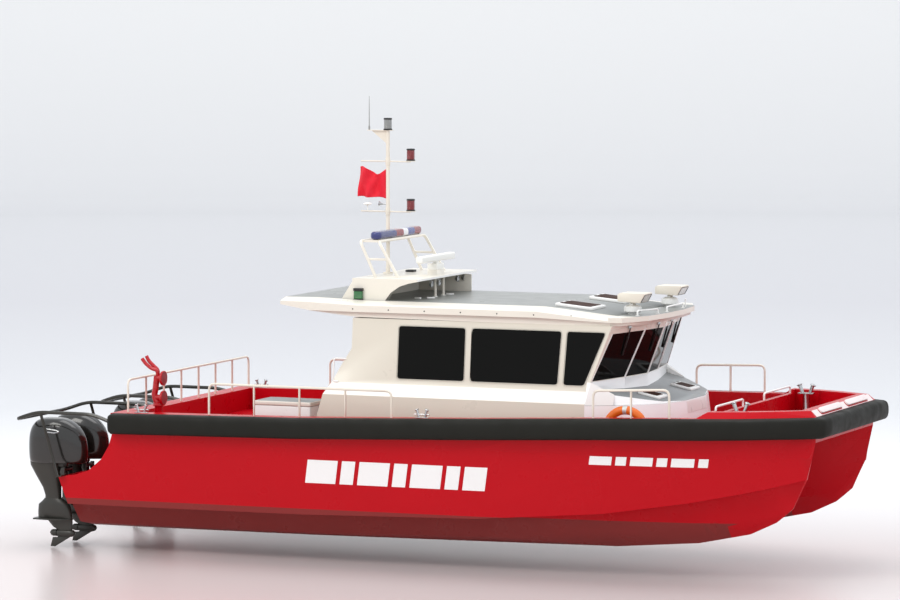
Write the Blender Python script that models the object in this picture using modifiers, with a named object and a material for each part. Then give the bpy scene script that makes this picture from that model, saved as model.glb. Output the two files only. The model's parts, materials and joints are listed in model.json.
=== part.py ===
# Fire rescue catamaran, about 13 m over all: two slim hulls under one deck, a hollow deckhouse,
# four outboards on the two transoms, a mast with its arch, and a fire monitor aft.
# Metres. X runs forward, Y to port, Z up. The origin is on the centreline at the waterline.
import bpy
import bmesh
from math import cos, sin, pi, radians
from mathutils import Vector

for old in list(bpy.data.objects):
    bpy.data.objects.remove(old)

# Driving sizes.
GAP = 0.0003            # between pieces that touch
DECK_Z = 1.12           # floor of the long recess inside the bulwarks
DECK_FWD_X = 4.71       # where the recess ends, at a low bulkhead across the boat
BULKHEAD = (4.79, 1.75) # forward face and top of that bulkhead
BOW_WELL_Z = 1.42       # floor of the bow well ahead of it
COAMING_X = (4.56, 4.72)    # where the bow's edge rises above the fender
COAMING_RISE = 0.09
COAMING_IN = 0.08       # how far that edge leans inboard
DECK_AFT_X = -4.60      # forward face of the stern bulwark
WELL_FWD_X = -4.78      # forward face of the two engine wells
WELL_Z = 0.02
WELL_WALL = 0.08        # thickness of the transom behind the wells
STEP_X = -4.92          # where the side starts to drop to the engine platforms
TRANSOM_TOP = (-5.91, 0.40)
TRANSOM_RAKE = 0.317    # metres forward for each metre down
STEM_X = 6.20
HOUSE_AFT_X = -1.20
PANEL = 0.04            # thickness of the deckhouse walls
RAIL_Y = 2.29
RAIL_R = 0.019

ENGINE_Y = (1.07, 1.81)
TILT_AXIS = (-5.955, 0.475)
STEER_X = -5.99
HUB_Z = -0.53

# x, sheer y, sheer z, outer chine y, chine z, chine flat y, lower chine y, lower chine z,
# keel y, keel z, inner lower y, inner lower z, inner chine y, inner chine z,
# tunnel side y, tunnel side z, tunnel roof z
HULL_STATIONS = [
    dict(x=-5.91, ys=2.33, zs=1.43, yc=2.14, zc=-0.02, yf=2.00, yl=1.90, zl=-0.32,
         yk=1.45, zk=-0.42, yi=1.00, zi=-0.32, yn=0.84, zn=0.00, yt=0.70, zt=0.46, zr=0.48),
    dict(x=-4.92, ys=2.35, zs=1.45, yc=2.15, zc=-0.02, yf=2.01, yl=1.91, zl=-0.32,
         yk=1.45, zk=-0.42, yi=1.00, zi=-0.31, yn=0.83, zn=0.01, yt=0.66, zt=0.48, zr=0.50),
    dict(x=-1.80, ys=2.36, zs=1.50, yc=2.17, zc=0.00, yf=2.03, yl=1.93, zl=-0.30,
         yk=1.45, zk=-0.40, yi=0.99, zi=-0.29, yn=0.82, zn=0.04, yt=0.58, zt=0.54, zr=0.56),
    dict(x=1.10, ys=2.36, zs=1.60, yc=2.17, zc=0.07, yf=2.04, yl=1.93, zl=-0.22,
         yk=1.45, zk=-0.36, yi=0.99, zi=-0.21, yn=0.82, zn=0.10, yt=0.56, zt=0.60, zr=0.62),
    dict(x=3.10, ys=2.33, zs=1.68, yc=2.10, zc=0.23, yf=1.99, yl=1.90, zl=-0.05,
         yk=1.45, zk=-0.33, yi=1.02, zi=-0.04, yn=0.86, zn=0.25, yt=0.62, zt=0.70, zr=0.72),
    dict(x=4.40, ys=2.20, zs=1.71, yc=1.95, zc=0.43, yf=1.87, yl=1.79, zl=0.12,
         yk=1.445, zk=-0.22, yi=1.10, zi=0.13, yn=0.97, zn=0.45, yt=0.78, zt=0.86, zr=0.88),
    dict(x=5.20, ys=1.98, zs=1.72, yc=1.77, zc=0.59, yf=1.71, yl=1.66, zl=0.21,
         yk=1.44, zk=-0.05, yi=1.22, zi=0.22, yn=1.12, zn=0.61, yt=0.98, zt=1.04, zr=1.06),
    dict(x=5.60, ys=1.79, zs=1.725, yc=1.63, zc=0.68, yf=1.59, yl=1.545, zl=0.27,
         yk=1.435, zk=0.14, yi=1.32, zi=0.28, yn=1.25, zn=0.69, yt=1.16, zt=1.18, zr=1.20),
]
# the stem itself, where the outer and inner lines meet 5 cm apart: x, y, z
STEM = dict(edge=(6.11, 1.40, 1.82), sheer=(6.20, 1.455, 1.73), chine=(6.07, 1.450, 0.80), flat=(6.05, 1.445, 0.79),
            low=(5.86, 1.440, 0.36), keel=(5.70, 1.430, 0.22), inlow=(5.86, 1.415, 0.36),
            inner=(6.07, 1.410, 0.80), tunnel=(6.19, 1.405, 1.35), roof=(6.19, 0.0, 1.35))

# Looks.
HUES = {
    "hull_red": ("C4161C", 0.25, 0.0), "deck_red": ("B01016", 0.25, 0.0),
    "fender_black": ("3B3B37", 0.55, 0.0), "cream": ("E8E2D6", 0.35, 0.0),
    "white": ("F2F1EE", 0.35, 0.0), "grey": ("848480", 0.45, 0.0),
    "dark_tube": ("4A4A46", 0.35, 0.6), "glass_black": ("161616", 0.08, 0.0),
    "steel": ("B8BABA", 0.25, 1.0), "engine": ("45433F", 0.35, 0.2),
    "monitor_red": ("B3131C", 0.30, 0.0), "orange": ("E5761C", 0.50, 0.0),
    "blue": ("2A2E66", 0.25, 0.0), "flag_red": ("E81F36", 0.70, 0.0),
}


def linear(hexa):
    out = []
    for k in range(0, 6, 2):
        c = int(hexa[k:k + 2], 16) / 255.0
        out.append(c / 12.92 if c <= 0.04045 else ((c + 0.055) / 1.055) ** 2.4)
    return out + [1.0]


MATS = {}
for hue_name, (hexa, rough, metal) in HUES.items():
    m = bpy.data.materials.new(hue_name)
    m.use_nodes = True
    b = m.node_tree.nodes["Principled BSDF"]
    b.inputs["Base Color"].default_value = linear(hexa)
    b.inputs["Roughness"].default_value = rough
    b.inputs["Metallic"].default_value = metal
    MATS[hue_name] = m

parts = bpy.data.collections.new("fire_rescue_catamaran")
cutters = bpy.data.collections.new("cutters")
bpy.context.scene.collection.children.link(parts)
bpy.context.scene.collection.children.link(cutters)


# Modelling helpers.
def add(name, mesh, hue, at=(0, 0, 0), parent=None, into=None):
    ob = bpy.data.objects.new(name, mesh)
    (into or parts).objects.link(ob)
    ob.location = at
    if parent is not None:
        ob.parent = parent
        ob.location = Vector(at) - parent.matrix_world.translation
    if hue:
        if not mesh.materials:
            mesh.materials.append(MATS[hue])
    return ob


def empty(name, at, parent=None):
    ob = bpy.data.objects.new(name, None)
    parts.objects.link(ob)
    ob.location = at
    if parent is not None:
        ob.parent = parent
        ob.location = Vector(at) - parent.matrix_world.translation
    bpy.context.view_layer.update()
    return ob


def mesh_of(name, bm):
    bmesh.ops.recalc_face_normals(bm, faces=bm.faces)
    me = bpy.data.meshes.new(name)
    bm.to_mesh(me)
    bm.free()
    return me


def box_bm(x, y, z):
    bm = bmesh.new()
    bmesh.ops.create_cube(bm, size=1.0)
    for v in bm.verts:
        v.co = Vector(((x[0] + x[1]) / 2 + v.co.x * (x[1] - x[0]),
                       (y[0] + y[1]) / 2 + v.co.y * (y[1] - y[0]),
                       (z[0] + z[1]) / 2 + v.co.z * (z[1] - z[0])))
    return bm


def box(name, x, y, z, hue, round_by=0.0, parent=None, into=None):
    bm = box_bm(x, y, z)
    if round_by:
        bmesh.ops.bevel(bm, geom=bm.edges[:], offset=round_by, segments=2, profile=0.5, affect="EDGES")
    return add(name, mesh_of(name, bm), hue, parent=parent, into=into)


def loft_bm(rings, caps=True, closed=True):
    """Quads between rings of the same length; the ends are closed by one face each."""
    bm = bmesh.new()
    rows = [[bm.verts.new(p) for p in ring] for ring in rings]
    n = len(rows[0])
    for a, b in zip(rows, rows[1:]):
        for k in range(n if closed else n - 1):
            bm.faces.new((a[k], a[(k + 1) % n], b[(k + 1) % n], b[k]))
    if caps:
        bm.faces.new(rows[0])
        bm.faces.new(rows[-1])
    return bm


def loft(name, rings, hue, parent=None, into=None):
    return add(name, mesh_of(name, loft_bm(rings)), hue, parent=parent, into=into)


def prism(name, outline, plane, low, high, hue, parent=None, into=None, round_by=0.0):
    """An outline in plane XZ, XY or YZ, run along the third axis from low to high."""
    put = {"XZ": lambda p, w: (p[0], w, p[1]), "XY": lambda p, w: (p[0], p[1], w),
           "YZ": lambda p, w: (w, p[0], p[1])}[plane]
    bm = loft_bm([[put(p, low) for p in outline], [put(p, high) for p in outline]])
    if round_by:
        bmesh.ops.recalc_face_normals(bm, faces=bm.faces)
        bmesh.ops.bevel(bm, geom=bm.edges[:], offset=round_by, segments=2, profile=0.5, affect="EDGES")
    return add(name, mesh_of(name, bm), hue, parent=parent, into=into)


def cylinder_bm(a, b, r, r2=None, seg=16):
    a, b = Vector(a), Vector(b)
    bm = bmesh.new()
    bmesh.ops.create_cone(bm, cap_ends=True, segments=seg, radius1=r, radius2=r if r2 is None else r2,
                          depth=(b - a).length)
    turn = Vector((0, 0, 1)).rotation_difference(b - a)
    for v in bm.verts:
        v.co = turn @ v.co + (a + b) / 2
    return bm


def cylinder(name, a, b, r, hue, r2=None, seg=16, parent=None, into=None):
    return add(name, mesh_of(name, cylinder_bm(a, b, r, r2, seg)), hue, parent=parent, into=into)


def smooth_path(points, radius, steps=4):
    """Corners of a polyline rounded by short arcs, as a bent tube has them."""
    pts = [Vector(p) for p in points]
    out = [pts[0]]
    for a, b, c in zip(pts, pts[1:], pts[2:]):
        u, v = (a - b).normalized(), (c - b).normalized()
        r = min(radius, (a - b).length * 0.45, (c - b).length * 0.45)
        for k in range(steps + 1):
            t = k / steps
            out.append((b + u * r) * (1 - t) ** 2 + 2 * t * (1 - t) * b + (b + v * r) * t ** 2)
    out.append(pts[-1])
    return out


def tube_mesh(name, points, r, seg_res=1, cyclic=False):
    """A bent tube: a poly curve with a round bevel and filled caps, made a mesh."""
    cu = bpy.data.curves.new(name, "CURVE")
    cu.dimensions = "3D"
    cu.bevel_depth = r
    cu.bevel_resolution = seg_res
    cu.use_fill_caps = True
    sp = cu.splines.new("POLY")
    sp.points.add(len(points) - 1)
    for q, p in zip(sp.points, points):
        q.co = (p[0], p[1], p[2], 1.0)
    sp.use_cyclic_u = cyclic
    ob = bpy.data.objects.new(name, cu)
    parts.objects.link(ob)
    bpy.context.view_layer.update()
    deps = bpy.context.evaluated_depsgraph_get()
    me = bpy.data.meshes.new_from_object(ob.evaluated_get(deps))
    bpy.data.objects.remove(ob)
    bm = bmesh.new()
    bm.from_mesh(me)
    bmesh.ops.remove_doubles(bm, verts=bm.verts, dist=0.00005)
    bmesh.ops.recalc_face_normals(bm, faces=bm.faces)
    bm.to_mesh(me)
    bm.free()
    me.materials.clear()
    return me


def join_bm(target, others):
    for other in others:
        tmp = bpy.data.meshes.new("tmp")
        other.to_mesh(tmp)
        other.free()
        target.from_mesh(tmp)
        bpy.data.meshes.remove(tmp)
    return target


def boolean(ob, tool, what):
    mod = ob.modifiers.new(what.lower() + "_" + tool.name, "BOOLEAN")
    mod.operation = what
    mod.solver = "EXACT"
    mod.object = tool
    tool.hide_render = True
    tool.display_type = "WIRE"
    return mod


def hide(tool):
    for c in list(tool.users_collection):
        c.objects.unlink(tool)
    cutters.objects.link(tool)
    tool.hide_render = True
    tool.display_type = "WIRE"
    return tool


def unite(ob, meshes):
    for k, me in enumerate(meshes):
        tool = hide(add("%s_join_%02d" % (ob.name, k), me, None))
        tool.parent = ob.parent
        tool.location = ob.location
        boolean(ob, tool, "UNION")


def cut(ob, tools):
    for tool in tools:
        hide(tool)
        boolean(ob, tool, "DIFFERENCE")


# Hull.
def transom_x(z):
    return TRANSOM_TOP[0] + (TRANSOM_TOP[1] - z) * TRANSOM_RAKE


def sheer(x):
    """Half breadth and height of the gunwale at x, between the stations."""
    rows = [(s["x"], s["ys"], s["zs"]) for s in HULL_STATIONS] + [STEM["sheer"]]
    for (x0, y0, z0), (x1, y1, z1) in zip(rows, rows[1:]):
        if x <= x1:
            t = (x - x0) / (x1 - x0)
            return y0 + (y1 - y0) * t, z0 + (z1 - z0) * t
    return rows[-1][1], rows[-1][2]


def between(a, b, x):
    """A section partway between two others."""
    t = (x - a["x"]) / (b["x"] - a["x"])
    return {key: a[key] + (b[key] - a[key]) * t for key in a}


# the two sections between which the bow's edge rises are added to the table's
RISE_AFTER = 5
SECTIONS = (HULL_STATIONS[:RISE_AFTER + 1]
            + [between(HULL_STATIONS[RISE_AFTER], HULL_STATIONS[RISE_AFTER + 1], x) for x in COAMING_X]
            + HULL_STATIONS[RISE_AFTER + 1:])


def station_ring(s):
    top = s["zs"] + (COAMING_RISE if s["x"] > COAMING_X[0] + 0.01 else 0.0)
    pts = [(0, top), (s["ys"] - COAMING_IN, top), (s["ys"], s["zs"]), (s["yc"], s["zc"]), (s["yf"], s["zc"] - 0.01),
           (s["yl"], s["zl"]), (s["yk"], s["zk"]), (s["yi"], s["zi"]), (s["yn"], s["zn"]),
           (s["yt"], s["zt"]), (0, s["zr"])]
    if s is SECTIONS[0]:
        return [(transom_x(z), y, z) for y, z in pts]
    return [(s["x"], y, z) for y, z in pts]


def hull_form(name):
    """The outer form of both hulls with the deck between them, before anything is cut from it."""
    bm = bmesh.new()
    rows = [[bm.verts.new(p) for p in station_ring(s)] for s in SECTIONS]
    t = STEM
    last = [(t["edge"][0], 0, t["edge"][2]), t["edge"], t["sheer"], t["chine"], t["flat"], t["low"], t["keel"],
            t["inlow"], t["inner"], t["tunnel"], t["roof"]]
    rows.append([bm.verts.new(p) for p in last])
    for a, b in zip(rows, rows[1:]):
        for k in range(len(a) - 1):
            bm.faces.new((a[k], a[k + 1], b[k + 1], b[k]))
    bm.faces.new(rows[0])
    # the bow's own faces: the leaning edge, the bow's flat, then the stem from its top down
    middle = bm.verts.new((t["sheer"][0], 0, t["sheer"][2]))
    edge0, edge, sheer_, chine, flat, low, keel, inlow, inner, tunnel, roof = rows[-1]
    for corners in ((edge0, edge, sheer_, middle), (middle, sheer_, tunnel, roof), (sheer_, chine, inner, tunnel),
                    (chine, flat, inner), (flat, low, inlow, inner), (low, keel, inlow)):
        bm.faces.new(corners)
    ob = add(name, mesh_of(name, bm), "hull_red")
    mir = ob.modifiers.new("both_halves", "MIRROR")
    mir.use_axis = (False, True, False)
    mir.merge_threshold = 0.0001
    mir.use_clip = True
    return ob


def build_hull():
    """The two hulls up to the deck that joins them."""
    hull = hull_form("hull")
    # the side drops in a curve to the engine platforms
    drop = [(-6.6, 0.40), (-5.91, 0.40), (-5.62, 0.445), (-5.38, 0.52), (-5.14, 0.71), (-4.99, 0.93),
            (STEP_X, DECK_Z), (STEP_X, 2.2), (-6.6, 2.2)]
    tools = [box("cut_above_deck", (STEP_X - 0.1, 7), (-3, 3), (DECK_Z, 3), None),
             prism("cut_stern", drop, "XZ", -3, 3, None),
             box("cut_between_sterns", (-6.6, STEP_X), (-0.66, 0.66), (-1, 3), None)]
    for side, s in (("starboard", -1), ("port", 1)):
        well = [(s * 0.79, WELL_Z), (s * 2.04, WELL_Z), (s * 2.105, 0.20), (s * 2.12, 3.0), (s * 0.79, 3.0)]
        aft = [(transom_x(z) + WELL_WALL, y, z) for y, z in well]
        tools.append(loft("cut_well_" + side, [aft, [(WELL_FWD_X, y, z) for y, z in well]], None))
    cut(hull, tools)


def build_bulwark():
    """The bulwarks round the deck, closed at the stern, with the bow well ahead of a low bulkhead."""
    ob = hull_form("bulwark")
    # plan of the long recess and of the bow well: x and half breadth, from aft to forward
    inside = [(DECK_AFT_X, 2.08), (-1.2, 2.16), (1.1, 2.22), (3.1, 2.19), (4.50, 2.03), (DECK_FWD_X, 1.92)]
    bow = [(BULKHEAD[0], 1.86), (5.20, 1.72), (5.60, 1.53), (5.95, 1.34)]

    def plan(half):
        return half + [(x, -y) for x, y in reversed(half)]
    cut(ob, [box("cut_below_deck", (-7, 7), (-3, 3), (-1, DECK_Z + GAP), None),
             box("cut_aft_of_step", (-7, STEP_X), (-3, 3), (0, 3), None),
             prism("cut_recess", plan(inside), "XY", 1.0, 3, None),
             prism("cut_bow_well", plan(bow), "XY", BOW_WELL_Z, 3, None),
             box("cut_bulkhead_top", (DECK_FWD_X - 0.1, BULKHEAD[0] + 0.1), (-1.80, 1.80), (BULKHEAD[1], 3), None)])


def build_fender():
    """A square rubber fender with eased edges, along both sides and across the bow."""
    thick = 0.19
    rows = [(s["x"], s["ys"], s["zs"]) for s in HULL_STATIONS[1:]] + [STEM["sheer"]]
    low = {-4.92: 1.13, -1.80: 1.18, 1.10: 1.28, 3.10: 1.36, 4.40: 1.39, 5.20: 1.405, 5.60: 1.41, 6.20: 1.42}
    half = []
    for k, (x, y, z) in enumerate(rows):
        here = Vector((x, y))
        before = Vector(rows[k - 1][:2]) if k else here - Vector((1, 0))
        after = Vector(rows[k + 1][:2]) if k + 1 < len(rows) else Vector((x, 0))
        d0, d1 = (here - before).normalized(), (after - here).normalized()
        n0, n1 = Vector((-d0.y, d0.x)), Vector((-d1.y, d1.x))
        if k + 1 == len(rows):
            n0, n1 = Vector((-d0.y, d0.x)), Vector((1, 0))
        m = (n0 + n1).normalized()
        out = m / max(0.5, m.dot(n1))
        half.append((here, out, low[round(x, 2)], z))
    x, y, z = rows[0]
    path = [(Vector((x + 0.06, sheer(x + 0.06)[0])), Vector((0, 1)), low[-4.92], z)] + half[1:]
    ease = [(GAP, 0), (thick - 0.05, 0), (thick, 0.06), (thick, 0.25), (thick - 0.05, 0.31), (GAP, 0.31)]

    def ring(here, out, zl, zh, flip, grow=1.0):
        pts = []
        for w, h in ease:
            w = w if w == GAP else GAP + (w - GAP) * grow
            p = here + out * w
            hh = zl + (zh - zl) * h / 0.31
            hh = (zl + zh) / 2 + (hh - (zl + zh) / 2) * (1.0 if grow == 1.0 else 0.55 + 0.45 * grow)
            pts.append((p.x, -p.y if flip else p.y, hh))
        return pts

    first = path[0]
    tip = (Vector((x + 0.0, sheer(x)[0])), Vector((0, 1)), first[2], first[3])
    rings = [ring(*tip, False, 0.62)] + [ring(*p, False) for p in path]
    other = [ring(*p, True) for p in reversed(path)] + [ring(*tip, True, 0.62)]
    return loft("fender", rings + other, "fender_black")


# Rails.
def rail(name, points, posts, hue="cream", r=RAIL_R, bend=0.10, seg_res=1):
    """A bent top tube that comes down to the deck at both ends, with posts under it."""
    ob = add(name, tube_mesh(name, smooth_path(points, bend), r, seg_res), hue)
    if posts:
        bms = [cylinder_bm(a, b, r * 0.92, seg=8) for a, b in posts]
        first = bms[0]
        join_bm(first, bms[1:])
        unite(ob, [mesh_of(name + "_posts", first)])
    return ob


def side_rail(name, side, xs, top, foot_y):
    """A rail on the gunwale: its two ends and the posts between them."""
    s = -1 if side == "starboard" else 1
    ends = []
    for x in (xs[0], xs[-1]):
        ends.append((x, s * foot_y(x), max(sheer(x - 0.02)[1], sheer(x + 0.02)[1]) + GAP))
    pts = [ends[0], (xs[0], s * foot_y(xs[0]), top(xs[0])), (xs[-1], s * foot_y(xs[-1]), top(xs[-1])), ends[1]]
    posts = []
    for x in xs[1:-1]:
        t = (x - xs[0]) / (xs[-1] - xs[0])
        y = s * (foot_y(xs[0]) + (foot_y(xs[-1]) - foot_y(xs[0])) * t)
        z0 = max(sheer(x - 0.02)[1], sheer(x + 0.02)[1]) + GAP
        posts.append(((x, y, z0), (x, y, top(xs[0]) + (top(xs[-1]) - top(xs[0])) * t)))
    return rail(name, pts, posts)


def build_rails():
    for side in ("starboard", "port"):
        side_rail("aft_rail_" + side, side, [-3.27, -2.51, -1.75, -0.99, -0.23],
                  lambda x: 1.955, lambda x: 2.28)
        side_rail("bow_rail_" + side, side, [3.02, 3.60, 4.18], lambda x: 2.085 + 0.035 * (x - 3.02),
                  lambda x: 2.285 - 0.085 * (x - 3.02))
        s = -1 if side == "starboard" else 1
        foot, top = BULKHEAD[1] + GAP, 1.86
        rail("bow_grab_rail_" + side, [(4.745, s * 1.73, foot), (4.745, s * 1.73, top), (4.745, s * 0.49, top),
                                       (4.745, s * 0.49, foot)], [], "white", 0.017, 0.05)
    x = -4.69
    z0 = sheer(x + 0.03)[1] + GAP
    ys = [-2.20 + 4.40 * k / 7 for k in range(8)]
    rail("stern_rail", [(x, ys[0], z0), (x, ys[0], 1.96), (x, ys[-1], 1.96), (x, ys[-1], z0)],
         [((x, y, z0), (x, y, 1.96)) for y in ys[1:-1]])


# the guards' inner and outer tubes stand wide enough for engines that are tilted and steered
GUARD_Y = (0.583, 2.30)
GUARD_PADS = ((0.565, 0.765), (2.13, 2.318))


def build_engine_guards():
    def platform_z(x):
        return 0.40 + 0.155172 * (x + 5.91) + 0.00032
    for side, s in (("starboard", -1), ("port", 1)):
        yi, yo = s * GUARD_Y[0], s * GUARD_Y[1]
        fore = STEP_X + 0.06
        loop = [(fore, yo, 1.27), (-5.26, yo, 1.41), (-6.22, yo, 1.41), (-6.60, yo, 1.28),
                (-6.60, yi, 1.28), (-6.22, yi, 1.41), (-5.26, yi, 1.41), (fore, yi, 1.27)]
        ob = add("engine_guard_" + side, tube_mesh("guard", smooth_path(loop, 0.16), 0.030, 1), "dark_tube")
        struts = [cylinder_bm((-6.16, y, 1.40), (-5.845, y, 0.34), 0.024, seg=8) for y in (yo, yi)]
        pad = [(x, platform_z(x) + up) for x, up in ((-5.905, -0.01), (-5.80, -0.01), (-5.80, 0.02), (-5.905, 0.02))]
        pads = []
        for low, high in GUARD_PADS:
            pads.append(loft_bm([[(x, s * y, z) for x, z in pad] for y in (low, high)]))
        unite(ob, [mesh_of("guard_struts", join_bm(struts[0], struts[1:])),
                   mesh_of("guard_pads", join_bm(pads[0], pads[1:]))])
        seat = [(-6.1, platform_z(-6.1)), (-5.65, platform_z(-5.65)), (-5.65, 0.2), (-6.1, 0.2)]
        cut(ob, [box("cut_guard_fore_" + side, (STEP_X - GAP, -4.5), (-2.5, 2.5), (1.0, 1.6), None),
                 prism("cut_guard_foot_" + side, seat, "XZ", -2.5, 2.5, None)])


# Deckhouse.
def side_y(z):
    """Half breadth of the side wall above the knuckle."""
    return 1.683 - 0.0988 * (z - 2.145)


def side_x(z):
    """Its forward edge, which leans forward with the windscreen."""
    return 2.7483 + 0.3655 * (z - 2.145)


MITRE = 0.0309
# side wall rows: aft x, forward x, half breadth, height, setback of the inner forward edge
SIDE_ROWS = [(-1.78, 2.695, 1.82, DECK_Z + GAP, 0.0), (-1.58, 2.695, 1.80, 1.82, 0.0)] + [
    (aft, side_x(z), side_y(z), z, MITRE) for aft, z in ((-1.47, 2.00), (-1.30, 2.30), (-1.16, 2.52), (-1.16, 2.985))]


def panel_bm(rings, n):
    """A bent panel: two rings, each a row of n points and the same row at its other edge, reversed."""
    bm = bmesh.new()
    v = [[bm.verts.new(p) for p in ring] for ring in rings]
    for k in range(n - 1):
        for r in v:
            bm.faces.new((r[k], r[k + 1], r[2 * n - 2 - k], r[2 * n - 1 - k]))
    for k in range(2 * n):
        j = (k + 1) % (2 * n)
        bm.faces.new((v[0][k], v[0][j], v[1][j], v[1][k]))
    return bm


def side_wall(side):
    s = -1 if side == "starboard" else 1
    rings = []
    for dy in (0.0, PANEL):
        ring = [(xa, s * (y - dy), z) for xa, xf, y, z, m in SIDE_ROWS]
        ring += [(xf - (m if dy else 0.0), s * (y - dy), z) for xa, xf, y, z, m in reversed(SIDE_ROWS)]
        rings.append(ring)
    bm = panel_bm(rings, len(SIDE_ROWS))
    ob = add("deckhouse_side_" + side, mesh_of("side", bm), "cream")
    tools = []
    for k, (bl, br, tr, tl) in enumerate(SIDE_WINDOWS):
        out = [(bl[0], bl[1]), (br[0], br[1]), (tr[0], tr[1]), (tl[0], tl[1])]
        tools.append(prism("cut_window_%s_%d" % (side, k), round_outline(out, 0.07), "XZ",
                           *sorted((s * 1.40, s * 1.90)), None))
    cut(ob, tools)
    return ob


# window corners on the side wall, x and z: bottom aft, bottom forward, top forward, top aft
SIDE_WINDOWS = [
    ((-0.37, 2.11), (0.67, 2.11), (0.67, 2.865), (-0.37, 2.865)),
    ((0.80, 2.11), (2.19, 2.11), (2.24, 2.865), (0.80, 2.865)),
    ((2.33, 2.11), (2.58, 2.11), (2.88, 2.865), (2.37, 2.865)),
]


def round_outline(points, r, steps=3):
    out = []
    n = len(points)
    for k in range(n):
        a, b, c = (Vector(points[(k + j) % n]) for j in (-1, 0, 1))
        u, v = (a - b).normalized(), (c - b).normalized()
        for i in range(steps + 1):
            t = i / steps
            p = (b + u * r) * (1 - t) ** 2 + 2 * t * (1 - t) * b + (b + v * r) * t ** 2
            out.append((p.x, p.y))
    return out


# the faceted windscreen, y and x of its foot and of its head; it leans forward going up
WIND_FOOT = [(1.683, 2.749), (0.73, 2.93), (0.0, 3.03), (-0.73, 2.93), (-1.683, 2.749)]
WIND_HEAD = [(1.600, 3.056), (0.60, 3.262), (0.0, 3.344), (-0.60, 3.262), (-1.600, 3.056)]
WIND_Z = (2.145, 2.985)


def facet_point(k, u, w, off=0.0):
    """A point on windscreen facet k: u across from its port edge, w up, off outward."""
    f0, f1, h0, h1 = (Vector((p[1], p[0], z)) for p, z in
                      ((WIND_FOOT[k], WIND_Z[0]), (WIND_FOOT[k + 1], WIND_Z[0]),
                       (WIND_HEAD[k], WIND_Z[1]), (WIND_HEAD[k + 1], WIND_Z[1])))
    low, high = f0.lerp(f1, u), h0.lerp(h1, u)
    n = (f1 - f0).cross(h0 - f0).normalized()
    if n.x < 0:
        n = -n
    return low.lerp(high, w) + n * off


def build_windscreen():
    def row(points, z, inner):
        out = []
        for k, (y, x) in enumerate(points):
            if inner and k in (0, len(points) - 1):
                out.append((x - MITRE, y * (abs(y) - PANEL) / abs(y), z))
            else:
                out.append((x - (PANEL * 1.15 if inner else 0.0), y, z))
        return out
    n = len(WIND_FOOT)
    rings = [row(WIND_FOOT, WIND_Z[0], i) + row(WIND_HEAD, WIND_Z[1], i)[::-1] for i in (False, True)]
    bm = panel_bm(rings, n)
    ob = add("deckhouse_front", mesh_of("front", bm), "cream")
    tools = []
    for k in range(n - 1):
        m0, m1 = (0.08, 0.92) if k in (0, n - 2) else (0.07, 0.93)
        ring = [(m0, 0.09), (m1, 0.09), (m1, 0.90), (m0, 0.90)]
        rings = [[tuple(facet_point(k, u, w, off)) for u, w in ring] for off in (0.12, -0.16)]
        tools.append(loft("cut_pane_%d" % k, rings, None))
    cut(ob, tools)
    return ob


def build_glazing():
    """The dark panes: one wide sheet inside each wall, behind its openings."""
    for side, s in (("starboard", -1), ("port", 1)):
        zs = (2.06, 2.92)
        rings = []
        for off in (0.0004, 0.0084):
            ring = [(-0.46, s * (side_y(z) - PANEL - off), z) for z in zs]
            ring += [(side_x(z) - 0.10, s * (side_y(z) - PANEL - off), z) for z in reversed(zs)]
            rings.append(ring)
        add("side_glazing_" + side, mesh_of("glazing", panel_bm(rings, 2)), "glass_black")
    rows = []
    for t in (0.04, 0.96):
        pts = [Vector(f).lerp(Vector(h), t) for f, h in zip(WIND_FOOT, WIND_HEAD)]
        pts[0] = pts[1].lerp(pts[0], 0.90)
        pts[-1] = pts[-2].lerp(pts[-1], 0.90)
        rows.append([(x, y, WIND_Z[0] + (WIND_Z[1] - WIND_Z[0]) * t) for y, x in pts])
    rings = []
    for off in (PANEL * 1.15 + 0.0008, PANEL * 1.15 + 0.0088):
        rings.append([(x - off, y, z) for x, y, z in rows[0]] + [(x - off, y, z) for x, y, z in reversed(rows[1])])
    add("windscreen_glazing", mesh_of("glazing", panel_bm(rings, len(WIND_FOOT))), "glass_black")


def build_aft_wall():
    wide = [(y - PANEL - 0.0004, z) for xa, xf, y, z, m in SIDE_ROWS]
    outline = wide + [(-y, z) for y, z in reversed(wide)]
    ob = prism("deckhouse_aft_wall", outline, "YZ", HOUSE_AFT_X + 0.0403, HOUSE_AFT_X + 0.0403 + PANEL, "cream")
    tools = [box("cut_door", (-2, -0.5), (-0.36, 0.36), (DECK_Z + 0.12, 2.88), None)]
    for side, s in (("starboard", -1), ("port", 1)):
        tools.append(box("cut_aft_window_" + side, (-2, -0.5), sorted((s * 0.62, s * 1.38)), (2.12, 2.80), None))
    cut(ob, tools)
    door = box("aft_door", (HOUSE_AFT_X, HOUSE_AFT_X + 0.040), (-0.40, 0.40), (DECK_Z + 0.08, 2.92), "white",
               parent=empty("aft_door_hinge", (HOUSE_AFT_X - 0.004, 0.412, 1.9)))
    cut(door, [box("cut_door_light", (-2, -0.5), (-0.26, 0.26), (2.12, 2.78), None)])


# the roof: x, half breadth, underside, lower edge of the band round it, upper edge of the band
ROOF_ROWS = [(-2.44, 1.46, 3.14, 3.146, 3.218), (-1.90, 1.60, 3.07, 3.080, 3.225), (-1.10, 1.66, 3.0, 3.080, 3.200),
             (1.00, 1.67, 2.9853, 3.084, 3.195), (1.86, 1.665, 2.9853, 3.084, 3.195),
             (3.02, 1.64, 2.9853, 3.040, 3.084)]
ROOF_CROWN = 0.03     # the top between y -1.25 and 1.25 is this much above the band
ROOF_LIP = 0.06       # the band stands this much further out than the walls' heads below it
NOSE_TOP = 3.112


def roof_top(x):
    for (x0, _, _, _, z0), (x1, _, _, _, z1) in zip(ROOF_ROWS, ROOF_ROWS[1:]):
        if x <= x1:
            return z0 + (z1 - z0) * (x - x0) / (x1 - x0) + ROOF_CROWN
    return NOSE_TOP


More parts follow.
